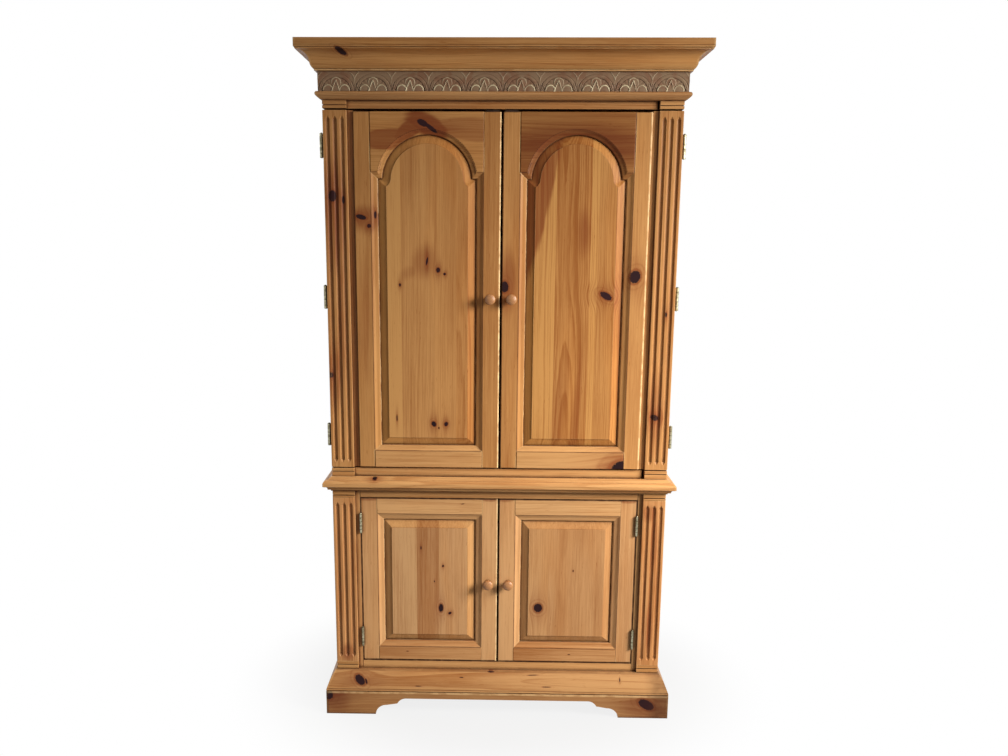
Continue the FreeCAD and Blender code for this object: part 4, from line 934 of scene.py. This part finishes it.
aged_brass = patina("aged_brass", srgb(174, 169, 142), srgb(124, 116, 90), 1.0, 0.3, 160.0, 0.85)
zinc = patina("zinc", srgb(196, 197, 198), srgb(150, 150, 148), 1.0, 0.3, 120.0)
catch_brown = patina("catch_brown", srgb(84, 58, 40), srgb(66, 46, 34), 0.0, 0.45, 90.0)
coated("case_hinge_leaves", aged_brass)
coated("hinge_pins", aged_brass)
coated("shelf_pins", zinc)
coated("door_catches", catch_brown)
for door in doors:
    coated(door + "_hinge_leaves", aged_brass)
    coated(door + "_strike", zinc)


# ======================================== floor, light and camera
# A pale studio floor that fades into white. A window's light falls from the right in front, a
# softer one from behind on the left lights that side and the back, and a little comes from all round.
def to_the_eye(tree):
    """1 for what the camera sees, also in mirrors and through glass, and 0 for light on the object."""
    seen = shade(tree, "LightPath").outputs
    mirrored = calc(tree, "MAXIMUM", seen["Is Glossy Ray"], seen["Is Transmission Ray"])
    return calc(tree, "MAXIMUM", seen["Is Camera Ray"], mirrored)


floor_mesh = bpy.data.meshes.new("floor")
reach = 9.0
corners = [(-reach, -reach, 0), (reach, -reach, 0), (reach, reach, 0), (-reach, reach, 0)]
floor_mesh.from_pydata(corners, [], [(0, 1, 2, 3)])
placed("floor", floor_mesh)
pale_floor, tree = new_finish("pale_floor")
distance = vector(tree, "LENGTH", vector(tree, "MULTIPLY", own_frame(tree), (0.8, 1, 1)))
fade = times(tree, soft_step(tree, distance, 0.35, 0.8, 0.84, 1.0), to_the_eye(tree))
matte = shade(tree, "BsdfDiffuse", [("Color", (0.3, 0.3, 0.3, 1))])
white = shade(tree, "Emission", (("Color", (1, 1, 1, 1)), ("Strength", 1.0)))
coat(tree, shade(tree, "MixShader", ((0, fade), (1, matte.outputs[0]), (2, white.outputs[0]))))
floor_mesh.materials.append(pale_floor)

world = bpy.data.worlds.new("studio")
bpy.context.scene.world = world
world.use_nodes = True
tree = world.node_tree
tree.nodes.clear()
fill = shade(tree, "Background", (("Color", (1.0, 0.95, 0.88, 1)), ("Strength", 0.2)))
backdrop = shade(tree, "Background", (("Color", (1, 1, 1, 1)), ("Strength", 1.0)))
mixed = shade(tree, "MixShader", ((0, to_the_eye(tree)), (1, fill.outputs[0]), (2, backdrop.outputs[0])))
shade(tree, "OutputWorld", [("Surface", mixed.outputs[0])])


def soft_light(name, place, aim, size, power, color, spread=180):
    """A square softbox at place that looks at aim. Its spread is in degrees."""
    lamp = bpy.data.lights.new(name, "AREA")
    lamp.shape = "SQUARE"
    lamp.size = size
    lamp.energy = power
    lamp.color = color
    lamp.spread = math.radians(spread)
    light = placed(name, lamp)
    light.location = place
    light.rotation_euler = (Vector(aim) - Vector(place)).to_track_quat("-Z", "Y").to_euler()


soft_light("window", (2.65, -1.62, 2.05), (-0.15, -0.25, 0.3), size=1.2, power=44.5,
           color=(1.0, 0.97, 0.92), spread=80)
soft_light("room", (-2.6, 2.4, 2.9), (0.0, 0.0, 1.0), size=2.2, power=52.0, color=(1.0, 0.97, 0.93))

camera = bpy.data.cameras.new("camera")
camera.lens = 30.61
camera.sensor_width = 36.0
camera.shift_x = 0.025
camera.shift_y = 0.0191
camera.clip_start = 0.05
camera.clip_end = 60.0
viewer = placed("camera", camera)
yaw, tilt, roll = (math.radians(angle) for angle in (-1.05, 10.704, -0.32))
level = Vector((math.cos(yaw), -math.sin(yaw), 0))
forward = Vector((math.cos(tilt) * math.sin(yaw), math.cos(tilt) * math.cos(yaw), -math.sin(tilt)))
head = level.cross(forward)
right = math.cos(roll) * level - math.sin(roll) * head
up = math.sin(roll) * level + math.cos(roll) * head
turn = Matrix((right, up, -forward)).transposed().to_4x4()
viewer.matrix_world = Matrix.Translation((-0.017, -2.8966, 1.5798)) @ turn
bpy.context.scene.camera = viewer
bpy.context.scene.view_settings.view_transform = "Standard"
